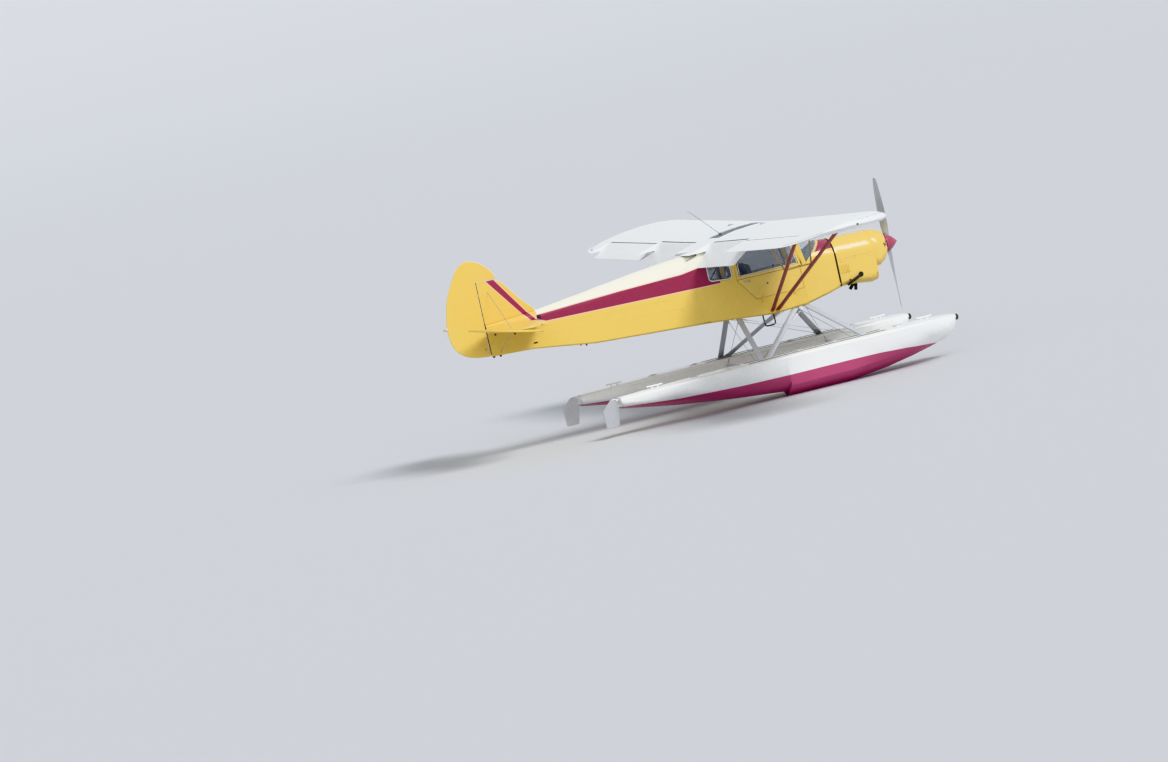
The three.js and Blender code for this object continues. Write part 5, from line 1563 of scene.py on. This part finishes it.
# Tail: rib tapes, rudder horns and lamp. Columns: places up or out, both ends and count of points
tailRibs = {
    "fin": ((0.30, 0.45, 0.60), (-5.56, -6.29, 14)),
    "rudder": ((-0.10, 0.12, 0.36, 0.58, 0.80, 0.97), (-6.35, -6.86, 12)),
    "stabilizer": ((0.30, 0.62, 0.94, 1.20), (-5.58, -6.23, 12)),
    "elevator": ((0.36, 0.66, 0.96, 1.22, 1.42), (-6.29, -6.66, 10)),
}
tail = {
    "horn": [(-6.405, 0.012), (-6.382, 0.066), (-6.362, 0.070), (-6.362, 0.012)], "hornZ": (-0.155, -0.149),
    "lamp": (-6.872, 0, 0.25),
    "lens": [(-0.006, 0), (-0.006, 0.014), (0.008, 0.014), (0.018, 0.011), (0.024, 0.0)],
}


def uprightLines(node):
    heights, ends = tailRibs[node]
    return [fromSide(node, sign, [(x, z) for x in steps(*ends)]) for z in heights for sign in signs]


def levelLines(node, kind, sign):
    widths, ends = tailRibs[kind]
    return [upright(node, [(x, sign * y) for x in steps(*ends)], way) for y in widths for way in (-1, 1)]


def makeTail():
    fixed = uprightLines("fin")
    moving = []
    for side, sign in sides.items():
        fixed += levelLines(f"stabilizer_{side}", "stabilizer", sign)
        moving += levelLines("elevator", "elevator", sign)
    for name, lines, body in (("tailTapes", fixed, "airframe"),
                              ("rudderTapes", uprightLines("rudder"), "rudder"),
                              ("elevatorTapes", moving, "elevator")):
        ribbons = tapes(lines, tape["tail"], crown=tape["tailCrown"])
        makePiece(name, ribbons, "yellowCloth", body=body, angle=60)
    horn = slabShape(tail["horn"], spot, *tail["hornZ"])
    makePiece("rudderHorn", bothSides(horn), "brightSteel", body="rudder", bevel=0.001)
    makePiece("tailLamp", turnedShape(tail["lens"], spot(*tail["lamp"]), (-1, 0, 0), 18), "clearLens",
              body="rudder", angle=60)


# What closes the gaps round the rudder, and the small fittings that dot the stern. The slab in the gap behind
# the fin is near black, a painted shadow
stern = {
    "finCap": [(-6.3055, 0.7975), (-6.3055, 0.812), (-6.028, 0.794), (-6.022, 0.7755)],
    "finEdge": (-6.3165, 0.20, -6.3050, 0.811), "finGapShadow": (-6.3215, -0.24, -6.3120, 0.812),
    "dots": [(-6.21, 0.028), (-5.93, -0.022)], "slotPlace": (-5.66, -0.215),
    "slot": (0.034, 0.010, 0.009), "slotDepth": (-0.004, 0.0025),
    "bolt": [(-0.002, 0), (-0.002, 0.016), (0.004, 0.014), (0.008, 0.008), (0.008, 0)],
    "tabs": [(-6.285, 0.018), (-6.185, 0.018), (-4.95, 0.15)],
    "tab": [(-0.016, 0.004), (0.016, 0.004), (0.010, -0.024), (-0.010, -0.024)],
}


def makeSternDetails():
    for name, outline, half, finish in (("finCap", stern["finCap"], 0.0135, "yellowCloth"),
                                        ("finEdge", rectangle(*stern["finEdge"]), 0.0125, "yellowCloth"),
                                        ("finGapShadow", rectangle(*stern["finGapShadow"]), 0.009, "seamShadow")):
        makePiece(name, slabShape(outline, sideSpot, -half, half), finish, "yellow_fabric")
    dots, slots, tabs = [], [], []
    tab = roundedOutline(stern["tab"], 0.006)
    for sign in signs:
        dots += [turnedShape(stern["bolt"], hit, normal, 14)
                 for hit, normal in fromSide("fuselage_aft", sign, stern["dots"])]
        slots += [sidePlate(hit, roundedPlate(*stern["slot"]), sign, *stern["slotDepth"])
                  for hit, _ in fromSide("fuselage_aft", sign, [stern["slotPlace"]])]
        tabs += [plateAt(hit, tab, "uwv", -0.003, 0.003)
                 for hit, _ in upright("fuselage_aft", [(x, sign * y) for x, y in stern["tabs"]], 1)]
    makePiece("sternBolts", dots, "darkTrim", angle=50)
    makePiece("trimSlot", slots, "seamShadow", "black_metal", bevel=0.0008)
    makePiece("sternTabs", tabs, "darkTrim", bevel=0.0008)


makeTail()
makeSternDetails()
print("tail dressed")

# Stringers under the fuselage cloth. Columns: where the line starts in front and where it ends aft
stringers = {"front": -3.13, "topAft": -5.52, "sideAft": -6.25,
             "topTape": (0.030, 0.0002, 0.0022), "sideTape": (0.030, 0.0002, 0.0018),
             "top": [(0.30, 0.12), (0.14, 0.055), (0.0, 0.0)], "sides": [(-0.22, -0.06), (-0.06, 0.03)]}


def makeStringers():
    top, flanks = [], []
    stations = steps(stringers["front"], stringers["topAft"], 26)
    for fore, aft in stringers["top"]:
        for sign in (signs if fore else signs[:1]):
            top.append(upright("fuselage_aft", list(zip(stations, steps(sign * fore, sign * aft, 26)))))
    stations = steps(stringers["front"], stringers["sideAft"], 34)
    for fore, aft in stringers["sides"]:
        flanks += [fromSide("fuselage_aft", sign, list(zip(stations, steps(fore, aft, 34))))
                   for sign in signs]
    ridges = tapes(top, *stringers["topTape"]) + tapes(flanks, *stringers["sideTape"])
    makePiece("stringers", ridges, "yellowCloth", angle=70)


# The lower door's handle and keyhole
door = {
    "handle": [(-2.50, -0.357, -0.045), (-2.50, -0.372, -0.047), (-2.49, -0.378, -0.05),
               (-2.42, -0.378, -0.055)],
    "rose": [(-0.001, 0), (-0.001, 0.02), (0.003, 0.02), (0.005, 0.016), (0.005, 0)],
    "rosePlace": (-2.50, -0.355, -0.045), "keyPlace": (-2.17, -0.355, -0.14),
    "key": [(-0.001, 0), (-0.001, 0.013), (0.003, 0.012), (0.003, 0.005), (0.001, 0.004), (0.001, 0)],
}


def makeDoorHandle():
    rose = turnedShape(door["rose"], spot(*door["rosePlace"]), (0, -1, 0), 20)
    makePiece("doorHandle", [tubeShape(spots(door["handle"]), 0.006, 10), rose], "brightSteel",
              body="door_lower", angle=60)
    makePiece("doorKeyhole", turnedShape(door["key"], spot(*door["keyPlace"]), (0, -1, 0), 18), "darkTrim",
              body="door_lower", angle=50)


makeStringers()
makeDoorHandle()
print("fuselage dressed")
